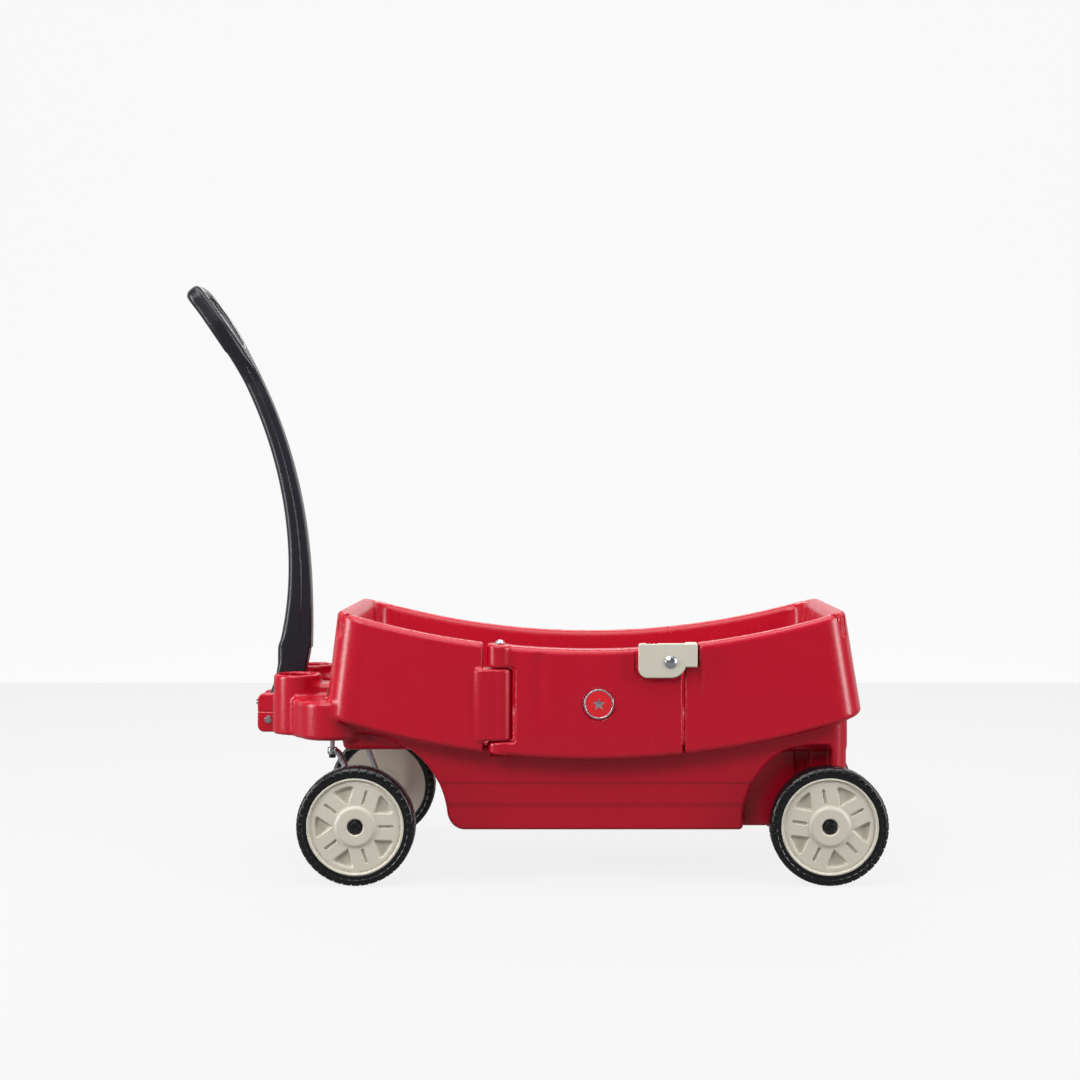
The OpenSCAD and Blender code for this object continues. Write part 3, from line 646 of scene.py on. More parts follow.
def bracket_field(x, y, z):
    """Two ears that carry the handle's pivot, each with a parting line round it."""
    low, high = box_mm("pull_bracket")
    side = np.abs(y)
    plan = both(low[0] - x, slab(z, low[2], high[2]), 12)
    d = both(plan, slab(side, 21, 38), 3.5)
    d = np.maximum(d, x - high[0] + 1)
    d = d + 1.0 * np.exp(-((z - low[2] - 37) / 1.3) ** 2)
    pivot = pivot_mm("handle_fold")
    return cut(d, disc(x, z, pivot[0], pivot[2], BOLT_HOLE_R))


def latch_field(x, y, z):
    """Latch plate, with a block behind its nose and three thumb notches in its top edge."""
    low, high = box_mm("latch")
    profile = latch_profile(x, z, (low, high))
    plate = both(profile, slab(-y, -low[1] - 90, -low[1]), 2.2)
    back = -low[1] - 9
    plate = both(plate, back + y)
    block_y = both(slab(x, high[0] - 20, high[0]), slab(z, low[2] + 18.5, high[2]), 2)
    nose = both(block_y, slab(-y, -high[1], -low[1] - 3), 1)
    d = np.minimum(plate, nose)
    for x_notch in (16, 23, 30):
        d = cut(d, disc(x, z, low[0] + x_notch, high[2] + 1.6, 3), 0.8)
    pivot = pivot_mm("latch_turn")
    return cut(d, disc(x, z, pivot[0], pivot[2], BOLT_HOLE_R))


def hub_field(axle, spin):
    """Field of one hub: five pockets, five slots and a raised boss."""
    def field(x, y, z):
        u, v, h = x - axle[0], z - axle[2], np.abs(y)
        r = np.sqrt(u * u + v * v)
        turn = np.degrees(np.arctan2(v, u)) - spin
        at_pocket = np.radians((turn % 72) - 36)
        at_slot = np.radians(((turn + 36) % 72) - 36)
        d = both(r - 83.4, slab(h, 199, 236), 1.5)
        rim = both(slab(r, 79.4, 83.4), slab(h, 200, 239), 1.4)
        d = join(d, rim, 1.2)
        d = cut(d, both(slab(r, 76.2, 79.0), 235.4 - h), 0.8)
        boss = both(r - 33, slab(h, 200, 239), 3.5)
        d = join(d, boss, 5)
        d = join(d, both(r - 20, slab(h, 191.5, 205), 2), 4)
        p, q = r * np.cos(at_pocket), np.abs(r * np.sin(at_pocket))
        wedge = both(q * 0.817 - (p - 39.5) * 0.577, r - 69, 4.5)
        d = cut(d, both(wedge, 228.5 - h, 3), 2.2)
        p, q = r * np.cos(at_slot), r * np.sin(at_slot)
        slot = strip(p, q, (41.5, 0), (62.5, 0), 2.4, 2.4)
        d = cut(d, both(slot, 231.5 - h, 1.5), 1)
        d = cut(d, both(r - 13.7, 226 - h, 2), 2.5)
        return cut(d, r - 8)
    return field


# ------------------------------------------------------------------ materials

def linear(hex_colour):
    """Linear RGBA of an sRGB hex colour."""
    channels = [int(hex_colour[i:i + 2], 16) / 255 for i in (1, 3, 5)]
    return [c / 12.92 if c <= 0.04045 else ((c + 0.055) / 1.055) ** 2.4 for c in channels] + [1.0]


def add_node(tree, kind, values=(), links=(), **settings):
    """Adds a node: its properties, its input values, and the outputs that feed its inputs."""
    made = tree.nodes.new(kind)
    for name, value in settings.items():
        setattr(made, name, value)
    for socket, value in dict(values).items():
        made.inputs[socket].default_value = value
    for socket, source in dict(links).items():
        tree.links.new(source, made.inputs[socket])
    return made


def moulded_plastic(name, hex_colour, rough, grain_mm, grain_depth_mm, glow=0.0, shade=0.05):
    """Coloured moulded plastic: a fine grain from the mould and slow changes of tone and gloss."""
    made = bpy.data.materials.new(name)
    made.use_nodes = True
    tree = made.node_tree
    tree.nodes.clear()
    base = linear(hex_colour)
    dark = [c * (1 - shade) for c in base[:3]] + [1.0]
    light = [min(c * (1 + shade), 1) for c in base[:3]] + [1.0]
    place = add_node(tree, "ShaderNodeTexCoord").outputs["Object"]
    tone = add_node(tree, "ShaderNodeTexNoise", {"Scale": 1 / 0.12, "Detail": 3.0}, {"Vector": place})
    colour = add_node(tree, "ShaderNodeMix", {6: dark, 7: light}, {0: tone.outputs["Fac"]}, data_type="RGBA")
    smear = add_node(tree, "ShaderNodeTexNoise", {"Scale": 1 / 0.035, "Detail": 3.0}, {"Vector": place})
    gloss = add_node(
        tree, "ShaderNodeMapRange",
        {"From Min": 0.3, "From Max": 0.7, "To Min": rough * 0.95, "To Max": rough * 1.05},
        {"Value": smear.outputs["Fac"]},
    )
    grain_scale = 1 / (grain_mm * MM)
    grain = add_node(tree, "ShaderNodeTexNoise", {"Scale": grain_scale, "Detail": 2.0}, {"Vector": place})
    bump = add_node(
        tree, "ShaderNodeBump", {"Strength": 1.0, "Distance": grain_depth_mm * MM},
        {"Height": grain.outputs["Fac"]},
    )
    skin = add_node(
        tree, "ShaderNodeBsdfPrincipled",
        {"IOR": 1.49, "Subsurface Weight": glow, "Subsurface Radius": (0.004, 0.0012, 0.001)},
        {"Base Color": colour.outputs[2], "Roughness": gloss.outputs[0], "Normal": bump.outputs[0]},
    )
    add_node(tree, "ShaderNodeOutputMaterial", (), {"Surface": skin.outputs[0]})
    return made


def plated_steel(name, hex_colour, rough):
    """Zinc-plated or foiled metal: bright, with a faint uneven gloss and a fine drawn grain."""
    made = bpy.data.materials.new(name)
    made.use_nodes = True
    tree = made.node_tree
    tree.nodes.clear()
    place = add_node(tree, "ShaderNodeTexCoord").outputs["Object"]
    smear = add_node(tree, "ShaderNodeTexNoise", {"Scale": 1 / 0.006, "Detail": 3.0}, {"Vector": place})
    gloss = add_node(
        tree, "ShaderNodeMapRange",
        {"From Min": 0.3, "From Max": 0.7, "To Min": rough * 0.75, "To Max": rough * 1.3},
        {"Value": smear.outputs["Fac"]},
    )
    grain = add_node(tree, "ShaderNodeTexNoise", {"Scale": 1 / 0.0005, "Detail": 2.0}, {"Vector": place})
    bump = add_node(
        tree, "ShaderNodeBump", {"Strength": 0.5, "Distance": 0.00002}, {"Height": grain.outputs["Fac"]},
    )
    skin = add_node(
        tree, "ShaderNodeBsdfPrincipled", {"Metallic": 1.0, "Base Color": linear(hex_colour)},
        {"Roughness": gloss.outputs[0], "Normal": bump.outputs[0]},
    )
    add_node(tree, "ShaderNodeOutputMaterial", (), {"Surface": skin.outputs[0]})
    return made


MATERIALS = {}


def make_materials():
    """One material for each of the record's slots, named for the real material and finish."""
    c = bpy.context.scene.wagon_colours
    made = MATERIALS
    # Blow-moulded polyethylene: satin, with a soft waxy depth and a faint orange peel.
    made["body_plastic"] = moulded_plastic("red_polyethylene_satin", c.red, 0.27, 2.2, 0.012, 0.04, 0.012)
    # Printed badge under clear lacquer: glossier than the body.
    made["badge_plastic"] = moulded_plastic("badge_red_gloss", c.badge, 0.18, 2.0, 0.005)
    # Injection-moulded polypropylene: matt and slightly translucent.
    made["cream_plastic"] = moulded_plastic("cream_polypropylene_matt", c.cream, 0.42, 1.0, 0.02, 0.05, 0.03)
    # Blow-moulded tyre: hard, dark and shiny on its flanks.
    made["tyre_plastic"] = moulded_plastic("tyre_black_gloss", c.tyre, 0.27, 1.5, 0.015)
    # Handle with the fine leather-like grain of a textured mould.
    made["handle_plastic"] = moulded_plastic("handle_black_grained", c.handle, 0.33, 1.2, 0.02, 0.0, 0.1)
    # Small black caps: smooth nylon.
    made["black_plastic"] = moulded_plastic("cap_black_satin", "#131214", 0.28, 1.0, 0.01)
    # Natural nylon: milky.
    made["nylon"] = moulded_plastic("nylon_natural", "#d9d6cc", 0.4, 1.0, 0.01, 0.1)
    # Zinc plate on drawn steel: bright and slightly blue.
    made["zinc_steel"] = plated_steel("zinc_plated_steel", "#c9ccd2", 0.24)
    # Hot-stamped foil on the badge's raised parts.
    made["badge_ring"] = plated_steel("badge_foil_silver", "#dadade", 0.3)


# ------------------------------------------------------------------ turned pieces

def turned(name, parts):
    """One mesh from several closed profiles, each with its place and its number of sides."""
    bm = bmesh.new()
    for profile, place, around, ribs, depth in parts:
        one = bmesh.new()
        lathe(one, profile, place, around, ribs, depth)
        bmesh.ops.remove_doubles(one, verts=one.verts, dist=1e-7)
        bmesh.ops.recalc_face_normals(one, faces=one.faces)
        part = bpy.data.meshes.new("part")
        one.to_mesh(part)
        one.free()
        bm.from_mesh(part)
        bpy.data.meshes.remove(part)
    mesh = bpy.data.meshes.new(name)
    bm.to_mesh(mesh)
    bm.free()
    mesh.shade_smooth()
    mesh.set_sharp_from_angle(angle=math.radians(35))
    obj = bpy.data.objects.new(name, mesh)
    bpy.context.collection.objects.link(obj)
    return obj


def dome(r, h, foot, steps=10):
    """Points of a shallow dome of radius r and height h, from its edge to the axis."""
    ball = (r * r + h * h) / (2 * h)
    edge = math.asin(min(r / ball, 1.0))
    angles = [edge * (1 - k / steps) for k in range(steps + 1)]
    return [(ball * math.sin(a), foot + h - ball + ball * math.cos(a)) for a in angles]


def axle_cap(name, x, side, body):
    """Push-on cap on an axle end: a stepped disc with a turned face."""
    z = pivot_mm("wheel_spin_front_near")[2]
    place = outward(x, z, side)
    cap = [(0, 228), (11, 228), (11, 235.6), (8.4, 236.2), (8, 238), (3.2, 238), (2.6, 236.6), (0, 236.6)]
    tip = [(0, 236), (2, 236), (2, 237.8), (0, 237.8)]
    obj = turned(name, [(rounded(cap, 0.7), place, 48, 0, 0), (rounded(tip, 0.4), place, 24, 0, 0)])
    return finish_piece(obj, body, MATERIALS["black_plastic"])


def add_turned_pieces():
    """Caps on the axles and the kingpins, and the bolts."""
    front, rear = pivot_mm("wheel_spin_front_near")[0], pivot_mm("wheel_spin_rear_near")[0]
    for side_name, side in SIDES.items():
        front_cap = axle_cap("front_axle_cap_" + side_name, front, side, "caster_" + side_name)
        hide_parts("front_axle_cap_" + side_name)
        rear_cap = axle_cap("rear_axle_cap_" + side_name, rear, side, "body")
        if side < 0:
            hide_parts("rear_axle_caps")
        king = pivot_mm("caster_turn_" + side_name)
        cap = [(0, 315), (10.4, 315), (10.4, 317), (10, 318), (8.6, 330.8), (3, 330.8), (0, 329.6)]
        name = "kingpin_cap_" + side_name
        obj = turned(name, [(rounded(cap, 1.6), upright(king[0], king[1], 0), 96, 12, 1.3)])
        finish_piece(obj, "caster_" + side_name, MATERIALS["black_plastic"], [name])
    add_bolts()


def add_bolts():
    """The latch's dome-headed bolt, the handle's hex bolt and the hinge pin's cap."""
    latch = pivot_mm("latch_turn")
    place = outward(latch[0], latch[2], -1)
    face = -box_mm("latch")[0][1] + 0.2
    head = [(0, face), (10.2, face), (10.8, face + 0.6)] + dome(10.4, 3.7, face + 0.7)
    shaft = rounded([(0, 179), (4, 179), (4, face + 1), (0, face + 1)], 0.6)
    obj = turned("latch_bolt", [(head, place, 64, 0, 0), (shaft, place, 32, 0, 0)])
    finish_piece(obj, "door", MATERIALS["zinc_steel"], ["latch_bolt"])

    pivot = pivot_mm("handle_fold")
    place = outward(pivot[0], pivot[2], -1)
    shaft = rounded([(0, -47), (4, -47), (4, 40), (0, 40)], 0.8)
    collar = rounded([(0, 38), (6.8, 38), (6.8, 39.2), (0, 39.2)], 0.4)
    head = [(0, 39), (6.2, 39), (6.3, 41.6), (5.4, 42.9), (0, 42.9)]
    obj = turned("handle_bolt", [(shaft, place, 32, 0, 0), (collar, place, 48, 0, 0), (head, place, 6, 0, 0)])
    finish_piece(obj, "body", MATERIALS["zinc_steel"], ["handle_bolt"])

    hinge, foot = pivot_mm("door_swing"), box_mm("hinge_pin_cap")
    base, top = foot[0][2], foot[1][2]
    place = upright(hinge[0], hinge[1], 0)
    skirt = rounded([(4.05, base), (8.5, base), (8.5, base + 1.4), (4.05, base + 1.4)], 0.4)
    crown = [(0, base + 1), (7.9, base + 1)] + dome(7.9, top - base - 1.5, base + 1.5)
    obj = turned("hinge_pin_cap", [(skirt, place, 48, 0, 0), (crown, place, 48, 0, 0)])
    finish_piece(obj, "body", MATERIALS["zinc_steel"], ["hinge_pin_cap"])


def add_badge():
    """Plain round badge: a red disc in a foil ring, with a raised star."""
    low, high = box_mm("door_badge")
    x, z, r = (low[0] + high[0]) / 2, (low[2] + high[2]) / 2, (high[0] - low[0]) / 2
    back, front = -high[1] - 1, -low[1]
    place = outward(x, z, -1)
    field_disc = rounded([(0, back), (r - 1, back), (r - 1, front - 1), (0, front - 1)], 0.4)
    obj = turned("badge_disc", [(field_disc, place, 96, 0, 0)])
    finish_piece(obj, "door", MATERIALS["badge_plastic"], ["door_badge"])
    ring = rounded([(r - 2.6, back), (r, back), (r, front - 0.3), (r - 2.6, front - 0.3)], 0.9)
    bm = bmesh.new()
    points = [(11.5 if k % 2 == 0 else 4.6, math.radians(90 + 36 * k)) for k in range(10)]
    top = bm.verts.new(place @ (Vector((0, 0, front - 0.1)) * MM))
    flat = [(a * math.cos(t), a * math.sin(t)) for a, t in points]
    rim = [bm.verts.new(place @ (Vector((u, v, front - 0.9)) * MM)) for u, v in flat]
    foot = [bm.verts.new(place @ (Vector((u, v, front - 2)) * MM)) for u, v in flat]
    for k in range(10):
        j = (k + 1) % 10
        bm.faces.new([rim[k], rim[j], top])
        bm.faces.new([foot[k], foot[j], rim[j], rim[k]])
    bm.faces.new(foot[::-1])
    star = from_bmesh("badge_star", bm)
    finish_piece(star, "door", MATERIALS["badge_ring"])
    ring_piece = turned("badge_ring", [(ring, place, 96, 0, 0)])
    finish_piece(ring_piece, "door", MATERIALS["badge_ring"])


# ------------------------------------------------------------------ tyres

def start_tree(name, inputs):
    """A geometry node tree with named inputs and one result, and the outputs of its input node."""
    tree = bpy.data.node_groups.new(name, "GeometryNodeTree")
    for title, kind in inputs.items():
        tree.interface.new_socket(title, in_out="INPUT", socket_type=kind)
    tree.interface.new_socket("Result", in_out="OUTPUT", socket_type="NodeSocketGeometry")
    return tree, add_node(tree, "NodeGroupInput").outputs


def end_tree(tree, geometry, material):
    """Makes a tree's instances real, paints them and sends them out."""
    real = add_node(tree, "GeometryNodeRealizeInstances", (), {"Geometry": geometry})
    paint = add_node(
        tree, "GeometryNodeSetMaterial", (), {"Geometry": real.outputs["Geometry"], "Material": material},
    )
    add_node(tree, "NodeGroupOutput", (), {"Result": paint.outputs["Geometry"]})
    return tree


def tread_tree():
    """Geometry nodes that set lugs round a tyre: they join the lugs, turned about Z, to the tyre."""
    tree, given = start_tree("tread_lugs", {
        "Tyre": "NodeSocketGeometry", "Lug": "NodeSocketObject", "Count": "NodeSocketInt",
        "Material": "NodeSocketMaterial",
    })
    points = add_node(tree, "GeometryNodePoints", (), {"Count": given["Count"]})
    info = add_node(tree, "GeometryNodeObjectInfo", (), {"Object": given["Lug"]})
    index = add_node(tree, "GeometryNodeInputIndex").outputs["Index"]
    share = add_node(tree, "ShaderNodeMath", (), {0: index, 1: given["Count"]}, operation="DIVIDE")
    turn = add_node(
        tree, "ShaderNodeMath", {1: 2 * math.pi}, {0: share.outputs["Value"]}, operation="MULTIPLY",
    )
    angle = add_node(tree, "ShaderNodeCombineXYZ", (), {"Z": turn.outputs["Value"]})
    place = add_node(tree, "GeometryNodeInstanceOnPoints", (), {
        "Points": points.outputs["Points"], "Instance": info.outputs["Geometry"],
        "Rotation": angle.outputs["Vector"],
    })
    joined = add_node(tree, "GeometryNodeJoinGeometry", (), {"Geometry": place.outputs["Instances"]})
    tree.links.new(given["Tyre"], joined.inputs["Geometry"])
    return end_tree(tree, joined.outputs["Geometry"], given["Material"])


def set_inputs(modifier, values):
    """Sets a node modifier's inputs by the name of their socket."""
    for item in modifier.node_group.interface.items_tree:
        if item.item_type == "SOCKET" and item.in_out == "INPUT" and item.name in values:
            modifier[item.identifier] = values[item.name]


def tread_lug(count, radius, base, half_w):
    """One pair of staggered lugs that wrap over the tyre's shoulders, in a tyre's own frame."""
    bm = bmesh.new()
    step = 2 * math.pi / count
    for side, phase in ((1, 0.0), (-1, 0.5)):
        outer = [(radius, 1.6), (radius, half_w - 8)]
        outer += [(radius - 7.5 + 7.5 * math.cos(math.radians(a)), half_w - 8 + 8 * math.sin(math.radians(a)))
                  for a in (20, 40, 60, 78)]
        outer += [(radius - 10.5, half_w - 0.1), (radius - 12, half_w - 1.2)]
        inner = [(radius - 12, half_w - 5), (base - 4, half_w - 12), (base - 4, 1.6)]
        loops = []
        for share, shrink in ((-0.44, 0.7), (-0.41, 0.0), (0.41, 0.0), (0.44, 0.7)):
            ring = []
            for r, h in outer:
                skew = 0.16 * (h - half_w / 2) / half_w
                a = step * (phase + share + skew)
                lowered = r - shrink
                height = side * (h - shrink * 0.3)
                ring.append(bm.verts.new(Vector((lowered * math.cos(a), lowered * math.sin(a), height)) * MM))
            for r, h in inner:
                a = step * (phase + share + 0.16 * (h - half_w / 2) / half_w)
                ring.append(bm.verts.new(Vector((r * math.cos(a), r * math.sin(a), side * h)) * MM))
            loops.append(ring)
        n = len(loops[0])
        for a, b in zip(loops, loops[1:]):
            for i in range(n):
                j = (i + 1) % n
                bm.faces.new([a[i], a[j], b[j], b[i]])
        bm.faces.new(loops[0][::-1])
        bm.faces.new(loops[-1])
    return from_bmesh("tread_lug", bm)


def add_tyres():
    """Four tyres: a turned carcass with the tread lugs set round it by geometry nodes."""
    s = shape()
    low, high = box_mm("tyre_front_near")
    radius, half_w = (high[2] - low[2]) / 2, (high[1] - low[1]) / 2
    middle = -(low[1] + high[1]) / 2
    base, inner = radius - s.lug_height / MM, 82.6
    half = [(base, half_w - 9), (base - 1.8, half_w - 4.6), (base - 6, half_w - 1.5),
            (base - 9.5, half_w - 0.6), (base - 11, half_w - 0.9), (inner + 2.6, half_w - 1.2),
            (inner + 0.8, half_w - 1.7), (inner, half_w - 3)]
    profile = half + [(r, -h) for r, h in reversed(half)]
    tree, count = tread_tree(), s.tread_lugs
    lug = tread_lug(count, radius, base, half_w)
    for end in ("front", "rear"):
        for side_name, side in SIDES.items():
            name = f"{end}_{side_name}"
            pivot = pivot_mm("wheel_spin_" + name)
            obj = turned("tyre_" + name, [(rounded(profile, 1.6), Matrix.Identity(4), 160, 0, 0)])
            modifier = obj.modifiers.new("tread", "NODES")
            modifier.node_group = tree
            set_inputs(modifier, {"Lug": lug, "Count": count, "Material": MATERIALS["tyre_plastic"]})
            apply_modifiers(obj)
            obj.data.transform(outward(pivot[0], pivot[2], side, middle))
            finish_piece(obj, "wheel_" + name, MATERIALS["tyre_plastic"], ["tyre_" + name])
    bpy.data.objects.remove(lug)


# ------------------------------------------------------------------ caster legs

def rod_tree():
    """Geometry nodes that bend a line round its corners and sweep a circle along it."""
    tree, given = start_tree("bent_rod", {
        "Path": "NodeSocketGeometry", "Radius": "NodeSocketFloat", "Bend": "NodeSocketFloat",
        "Material": "NodeSocketMaterial",
    })
    curve = add_node(tree, "GeometryNodeMeshToCurve", (), {"Mesh": given["Path"]})
    fillet = add_node(
        tree, "GeometryNodeFilletCurve", {"Count": 10, "Limit Radius": True},
        {"Curve": curve.outputs["Curve"], "Radius": given["Bend"]}, mode="POLY",
    )
    circle = add_node(
        tree, "GeometryNodeCurvePrimitiveCircle", {"Resolution": 32}, {"Radius": given["Radius"]},
    )
    sweep = add_node(
        tree, "GeometryNodeCurveToMesh", {"Fill Caps": True},
        {"Curve": fillet.outputs["Curve"], "Profile Curve": circle.outputs["Curve"]},
    )
    return end_tree(tree, sweep.outputs["Mesh"], given["Material"])


def add_caster_legs():
    """Two bent steel legs: a forged eye round the kingpin, a swept rod and a collar for the wheel."""
    tree = rod_tree()
    for side_name, side in SIDES.items():
        king = pivot_mm("caster_turn_" + side_name)
        axle = pivot_mm("wheel_spin_front_" + side_name)
        kx, ky = king[0], abs(king[1])
        eye = box_mm("leg_plug_" + side_name)[1][2] + 6
        path = [(kx + 5, ky, eye), (kx + 11, ky + 1, eye - 2), (kx + 24, ky + 7, eye - 28),
                (axle[0] - 8, ky + 18, axle[2] + 34), (axle[0], ky + 25, axle[2]), (axle[0], 233, axle[2])]
        mesh = bpy.data.meshes.new("path")
        points = [[x * MM, side * y * MM, z * MM] for x, y, z in path]
        mesh.from_pydata(points, [(i, i + 1) for i in range(len(path) - 1)], [])
        obj = bpy.data.objects.new("caster_leg_" + side_name, mesh)
        bpy.context.collection.objects.link(obj)
        modifier = obj.modifiers.new("rod", "NODES")
        modifier.node_group = tree
        set_inputs(modifier, {"Radius": 0.0054, "Bend": 0.016, "Material": MATERIALS["zinc_steel"]})
        apply_modifiers(obj)
        bm = bmesh.new()
        bm.from_mesh(obj.data)
        bmesh.ops.recalc_face_normals(bm, faces=bm.faces)
        eye_ring = rounded([(4.02, eye - 6), (8.5, eye - 6), (8.5, eye + 6), (4.02, eye + 6)], 1.5)
        collar = rounded([(5, 187.5), (9, 187.5), (9, 191), (5, 191)], 0.6)
        ring = turned("eye", [
            (eye_ring, upright(kx, king[1], 0), 48, 0, 0),
            (collar, outward(axle[0], axle[2], side), 48, 0, 0)])
        bm.from_mesh(ring.data)
        bm.to_mesh(obj.data)
        bm.free()
        bpy.data.objects.remove(ring)
        obj.data.shade_smooth()
        obj.data.set_sharp_from_angle(angle=math.radians(40))
        name = "caster_leg_" + side_name
        finish_piece(obj, "caster_" + side_name, MATERIALS["zinc_steel"], [name])


# ------------------------------------------------------------------ moulded pieces

def add_body():
    """The moulded body, which stands for nine nodes of the frame."""
    b = Body()
    low = [box_mm("front_deck")[0][0], -232, b.tub_z]
    high = [box_mm("rear_wall")[1][0] + 2, 232, b.rim_top + 1]
    step = shape().mesh_step / MM * 1
    obj = moulding("body_moulding", b.field, low, high, step, MOST_TRIS)
    nodes = ["front_wall", "rear_wall", "far_wall", "near_front_wall", "near_rear_wall"]
    nodes += ["footwell_tub", "front_seat", "rear_seat", "front_deck"]
    finish_piece(obj, "body", MATERIALS["body_plastic"], nodes)


def add_door():
    """The side door, which swings on its pin."""
    step = 2.5
    obj = moulding("door_moulding", Body().door_field, *box_mm("side_door"), step, MOST_TRIS)
    finish_piece(obj, "door", MATERIALS["body_plastic"], ["side_door"])


def add_bracket():
    """The pull bracket's two ears."""
    obj = moulding("bracket_ears", bracket_field, *box_mm("pull_bracket"), 1.3)
    finish_piece(obj, "body", MATERIALS["body_plastic"], ["pull_bracket"])


def add_handle():
    """The pull handle."""
    step = 2.5
    obj = moulding("pull_handle_moulding", handle_field, *box_mm("pull_handle"), step, MOST_TRIS)
    finish_piece(obj, "handle", MATERIALS["handle_plastic"], ["pull_handle"])


def add_latch():
    """The door's latch."""
    obj = moulding("latch_moulding", latch_field, *box_mm("latch"), 1.0)
    finish_piece(obj, "door_latch", MATERIALS["cream_plastic"], ["latch"])


def add_hubs():
    """The four hubs."""
    for end, spin in (("front", 0), ("rear", 28)):
        for side_name in SIDES:
            name = f"{end}_{side_name}"
            pivot = pivot_mm("wheel_spin_" + name)
            step = 1.5
            obj = moulding("hub_" + name, hub_field(pivot, spin), *box_mm("hub_" + name), step)
            finish_piece(obj, "wheel_" + name, MATERIALS["cream_plastic"], ["hub_" + name])


def finish_frame_nodes():
    """Gives each node of the frame that still shows the material of its slot."""
    slots = {}
    for part in frame["record"]["subparts"]:
        slots[part["node"]] = part["material_slot"]
    for name, obj in frame["nodes"].items():
        obj.data.materials.clear()
        obj.data.materials.append(MATERIALS[slots[name]])


# ------------------------------------------------------------------ stage

def soft_light(name, location, target, size, power, tint="#ffffff"):
    """A square soft box that faces a point."""
    data = bpy.data.lights.new(name, "AREA")
    data.shape = "RECTANGLE"
    data.size, data.size_y = size
    data.energy = power
    data.color = linear(tint)[:3]
    obj = bpy.data.objects.new(name, data)
    obj.location = location
    obj.rotation_euler = (Vector(target) - Vector(location)).to_track_quat("-Z", "Y").to_euler()
    bpy.context.collection.objects.link(obj)


def pale_paper(name, seen, bounced):
    """Pale studio paper: how bright it is to the eye, and how much light it sends to the object."""
    made = bpy.data.materials.new(name)
    made.use_nodes = True
    tree = made.node_tree
    tree.nodes.clear()
    pale = linear("#f9f9f9")
    rays = add_node(tree, "ShaderNodeLightPath")
    power = add_node(
        tree, "ShaderNodeMapRange", {"To Min": bounced, "To Max": seen},
        {"Value": rays.outputs["Is Camera Ray"]},
    )
    glow = add_node(tree, "ShaderNodeEmission", {"Color": pale}, {"Strength": power.outputs[0]})
    matt = add_node(tree, "ShaderNodeBsdfDiffuse", {"Color": pale})
    mix = add_node(tree, "ShaderNodeMixShader", {0: 0.06}, {1: glow.outputs[0], 2: matt.outputs[0]})
    add_node(tree, "ShaderNodeOutputMaterial", (), {"Surface": mix.outputs[0]})
    return made


def add_stage():
    """Pale floor that curves up to a backdrop, soft boxes and the camera."""
    scene = bpy.context.scene
    floor_line = [(-12, 0), (3, 0)]
    back_line = [(3 + 3 * math.sin(a), 3 - 3 * math.cos(a)) for a in [math.radians(5 * k) for k in range(19)]]
    back_line += [(6, 14)]
    for name, line, seen, bounced in (("floor", floor_line, 0.95, 0.25), ("backdrop", back_line, 1.04, 0.9)):
        bm = bmesh.new()
        rows = [[bm.verts.new((x, y, z - 0.0005)) for x in (-12, 12)] for y, z in line]
        for a, b in zip(rows, rows[1:]):
            bm.faces.new([a[0], a[1], b[1], b[0]])
        paper = from_bmesh("paper_" + name, bm)
        paper.data.materials.append(pale_paper("studio_paper_" + name, seen, bounced))

    soft_light("top_box", (0.1, -0.5, 2.7), (0.1, 0.0, 0.3), (3.4, 1.5), 60)
    soft_light("front_box", (-1.3, -3.0, 3.0), (0.05, 0.0, 0.3), (2.2, 1.4), 75)
    soft_light("rim_strip", (0.1, 2.3, 2.3), (0.1, -0.2, 0.42), (2.6, 0.25), 30)
    soft_light("left_strip", (-2.6, -1.0, 1.0), (-0.2, 0.0, 0.35), (0.6, 1.8), 48)
    soft_light("right_strip", (2.7, -1.1, 1.0), (0.5, 0.0, 0.35), (0.6, 1.8), 44)

    world = bpy.data.worlds.new("studio")
    world.use_nodes = True
    back = world.node_tree.nodes["Background"]
    back.inputs["Color"].default_value = linear("#e8ecf2")
    back.inputs["Strength"].default_value = 0.13
    scene.world = world
    scene.view_settings.view_transform = "Standard"

    lens = bpy.data.cameras.new("photo_camera")
    lens.lens = 60.6
    lens.sensor_width = 36.0
    lens.shift_x = -0.037
    lens.shift_y = -0.049
    camera = bpy.data.objects.new("photo_camera", lens)
    camera.location = (0.094, -3.34, 0.682)
    camera.rotation_euler = (math.radians(90), 0, 0)
    bpy.context.collection.objects.link(camera)
    scene.camera = camera


# ------------------------------------------------------------------ add-on

class WAGON_OT_materials(bpy.types.Operator):
    """Makes the materials and paints the frame's own nodes"""
    bl_idname = "wagon.add_materials"
    bl_label = "Materials"

    def execute(self, context):
        make_materials()
        finish_frame_nodes()
        return {"FINISHED"}


class WAGON_OT_body(bpy.types.Operator):
    """Adds the moulded body with its seats, footwell and front deck"""
    bl_idname = "wagon.add_body"
    bl_label = "Body"

    def execute(self, context):
        add_body()
        return {"FINISHED"}


class WAGON_OT_door(bpy.types.Operator):
    """Adds the side door"""
    bl_idname = "wagon.add_door"
    bl_label = "Side door"

    def execute(self, context):
        add_door()
        return {"FINISHED"}


class WAGON_OT_latch(bpy.types.Operator):
    """Adds the latch"""
    bl_idname = "wagon.add_latch"
    bl_label = "Latch"

    def execute(self, context):
        add_latch()
        return {"FINISHED"}


class WAGON_OT_badge(bpy.types.Operator):
    """Adds the badge on the door"""
    bl_idname = "wagon.add_badge"
    bl_label = "Badge"

    def execute(self, context):
        add_badge()
        return {"FINISHED"}


class WAGON_OT_handle(bpy.types.Operator):
    """Adds the pull handle and the ears that carry it"""
    bl_idname = "wagon.add_handle"
    bl_label = "Pull handle"

    def execute(self, context):
        add_bracket()
        add_handle()
        return {"FINISHED"}


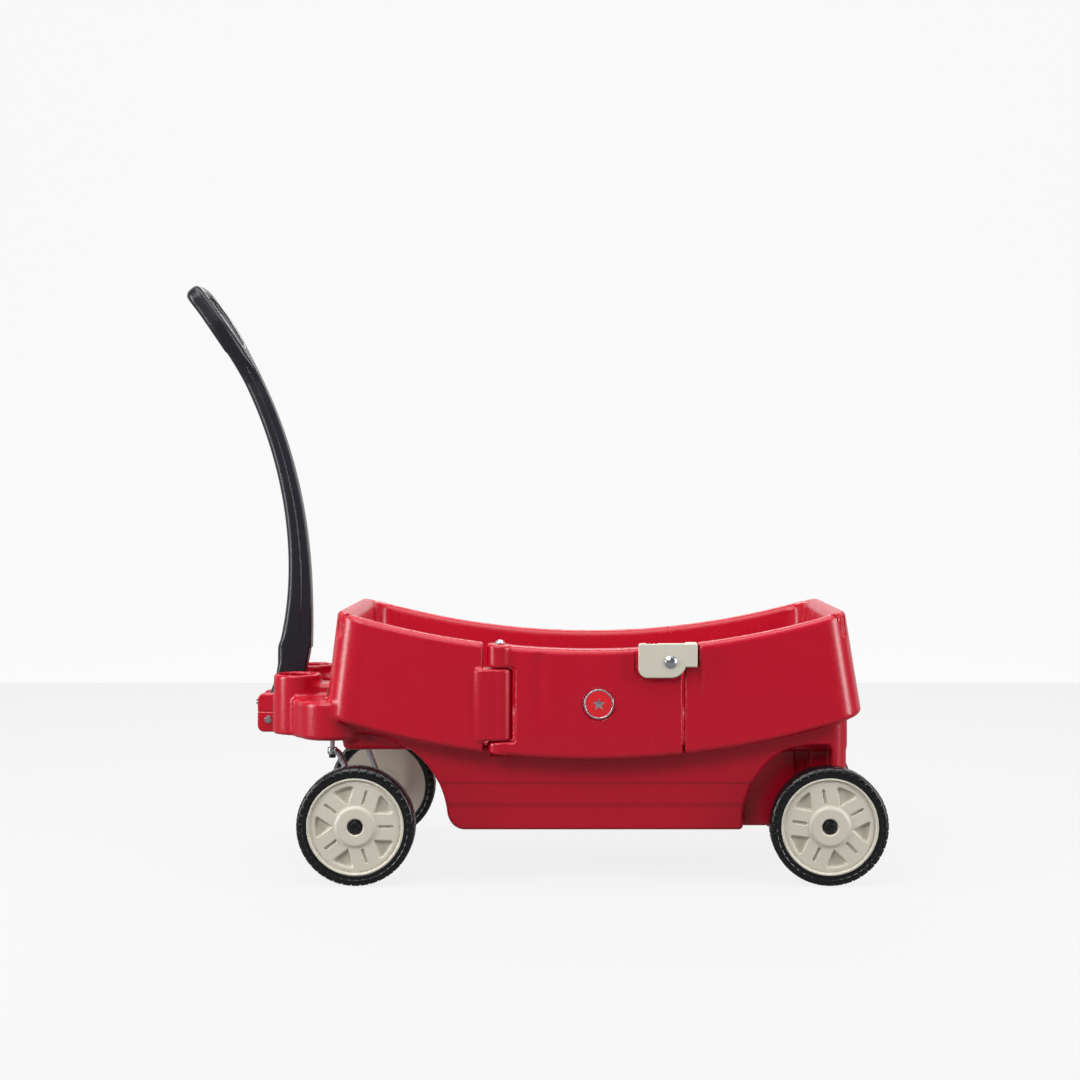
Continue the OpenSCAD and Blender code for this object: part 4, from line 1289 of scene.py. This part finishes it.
class WAGON_OT_hubs(bpy.types.Operator):
    """Adds the four hubs"""
    bl_idname = "wagon.add_hubs"
    bl_label = "Hubs"

    def execute(self, context):
        add_hubs()
        return {"FINISHED"}


class WAGON_OT_tyres(bpy.types.Operator):
    """Adds the four tyres with their tread"""
    bl_idname = "wagon.add_tyres"
    bl_label = "Tyres"

    def execute(self, context):
        add_tyres()
        return {"FINISHED"}


class WAGON_OT_casters(bpy.types.Operator):
    """Adds the bent legs of the two front casters"""
    bl_idname = "wagon.add_casters"
    bl_label = "Caster legs"

    def execute(self, context):
        add_caster_legs()
        return {"FINISHED"}


class WAGON_OT_hardware(bpy.types.Operator):
    """Adds the caps and bolts"""
    bl_idname = "wagon.add_hardware"
    bl_label = "Caps and bolts"

    def execute(self, context):
        add_turned_pieces()
        return {"FINISHED"}


class WAGON_OT_stage(bpy.types.Operator):
    """Adds the floor, the lights and the camera"""
    bl_idname = "wagon.add_stage"
    bl_label = "Stage"

    def execute(self, context):
        add_stage()
        return {"FINISHED"}


OPERATORS = [
    WAGON_OT_materials, WAGON_OT_body, WAGON_OT_door, WAGON_OT_latch, WAGON_OT_badge, WAGON_OT_handle,
    WAGON_OT_hubs, WAGON_OT_tyres, WAGON_OT_casters, WAGON_OT_hardware, WAGON_OT_stage,
]


class WAGON_PT_parts(bpy.types.Panel):
    """Lists the wagon's sizes, colours and pieces"""
    bl_idname = "WAGON_PT_parts"
    bl_label = "Pull Wagon"
    bl_space_type = "VIEW_3D"
    bl_region_type = "UI"
    bl_category = "Pull Wagon"

    def draw(self, context):
        for group in (context.scene.wagon_shape, context.scene.wagon_colours):
            box = self.layout.box()
            for name in group.__annotations__:
                box.prop(group, name)
        for operator in OPERATORS:
            self.layout.operator(operator.bl_idname)


CLASSES = [WagonShape, WagonColours] + OPERATORS + [WAGON_PT_parts]


def register():
    for each in CLASSES:
        bpy.utils.register_class(each)
    bpy.types.Scene.wagon_shape = bpy.props.PointerProperty(type=WagonShape)
    bpy.types.Scene.wagon_colours = bpy.props.PointerProperty(type=WagonColours)


def unregister():
    del bpy.types.Scene.wagon_shape
    del bpy.types.Scene.wagon_colours
    for each in reversed(CLASSES):
        bpy.utils.unregister_class(each)


def main():
    register()
    for operator in OPERATORS:
        group, name = operator.bl_idname.split(".")
        getattr(getattr(bpy.ops, group), name)()


if __name__ == "__main__":
    main()
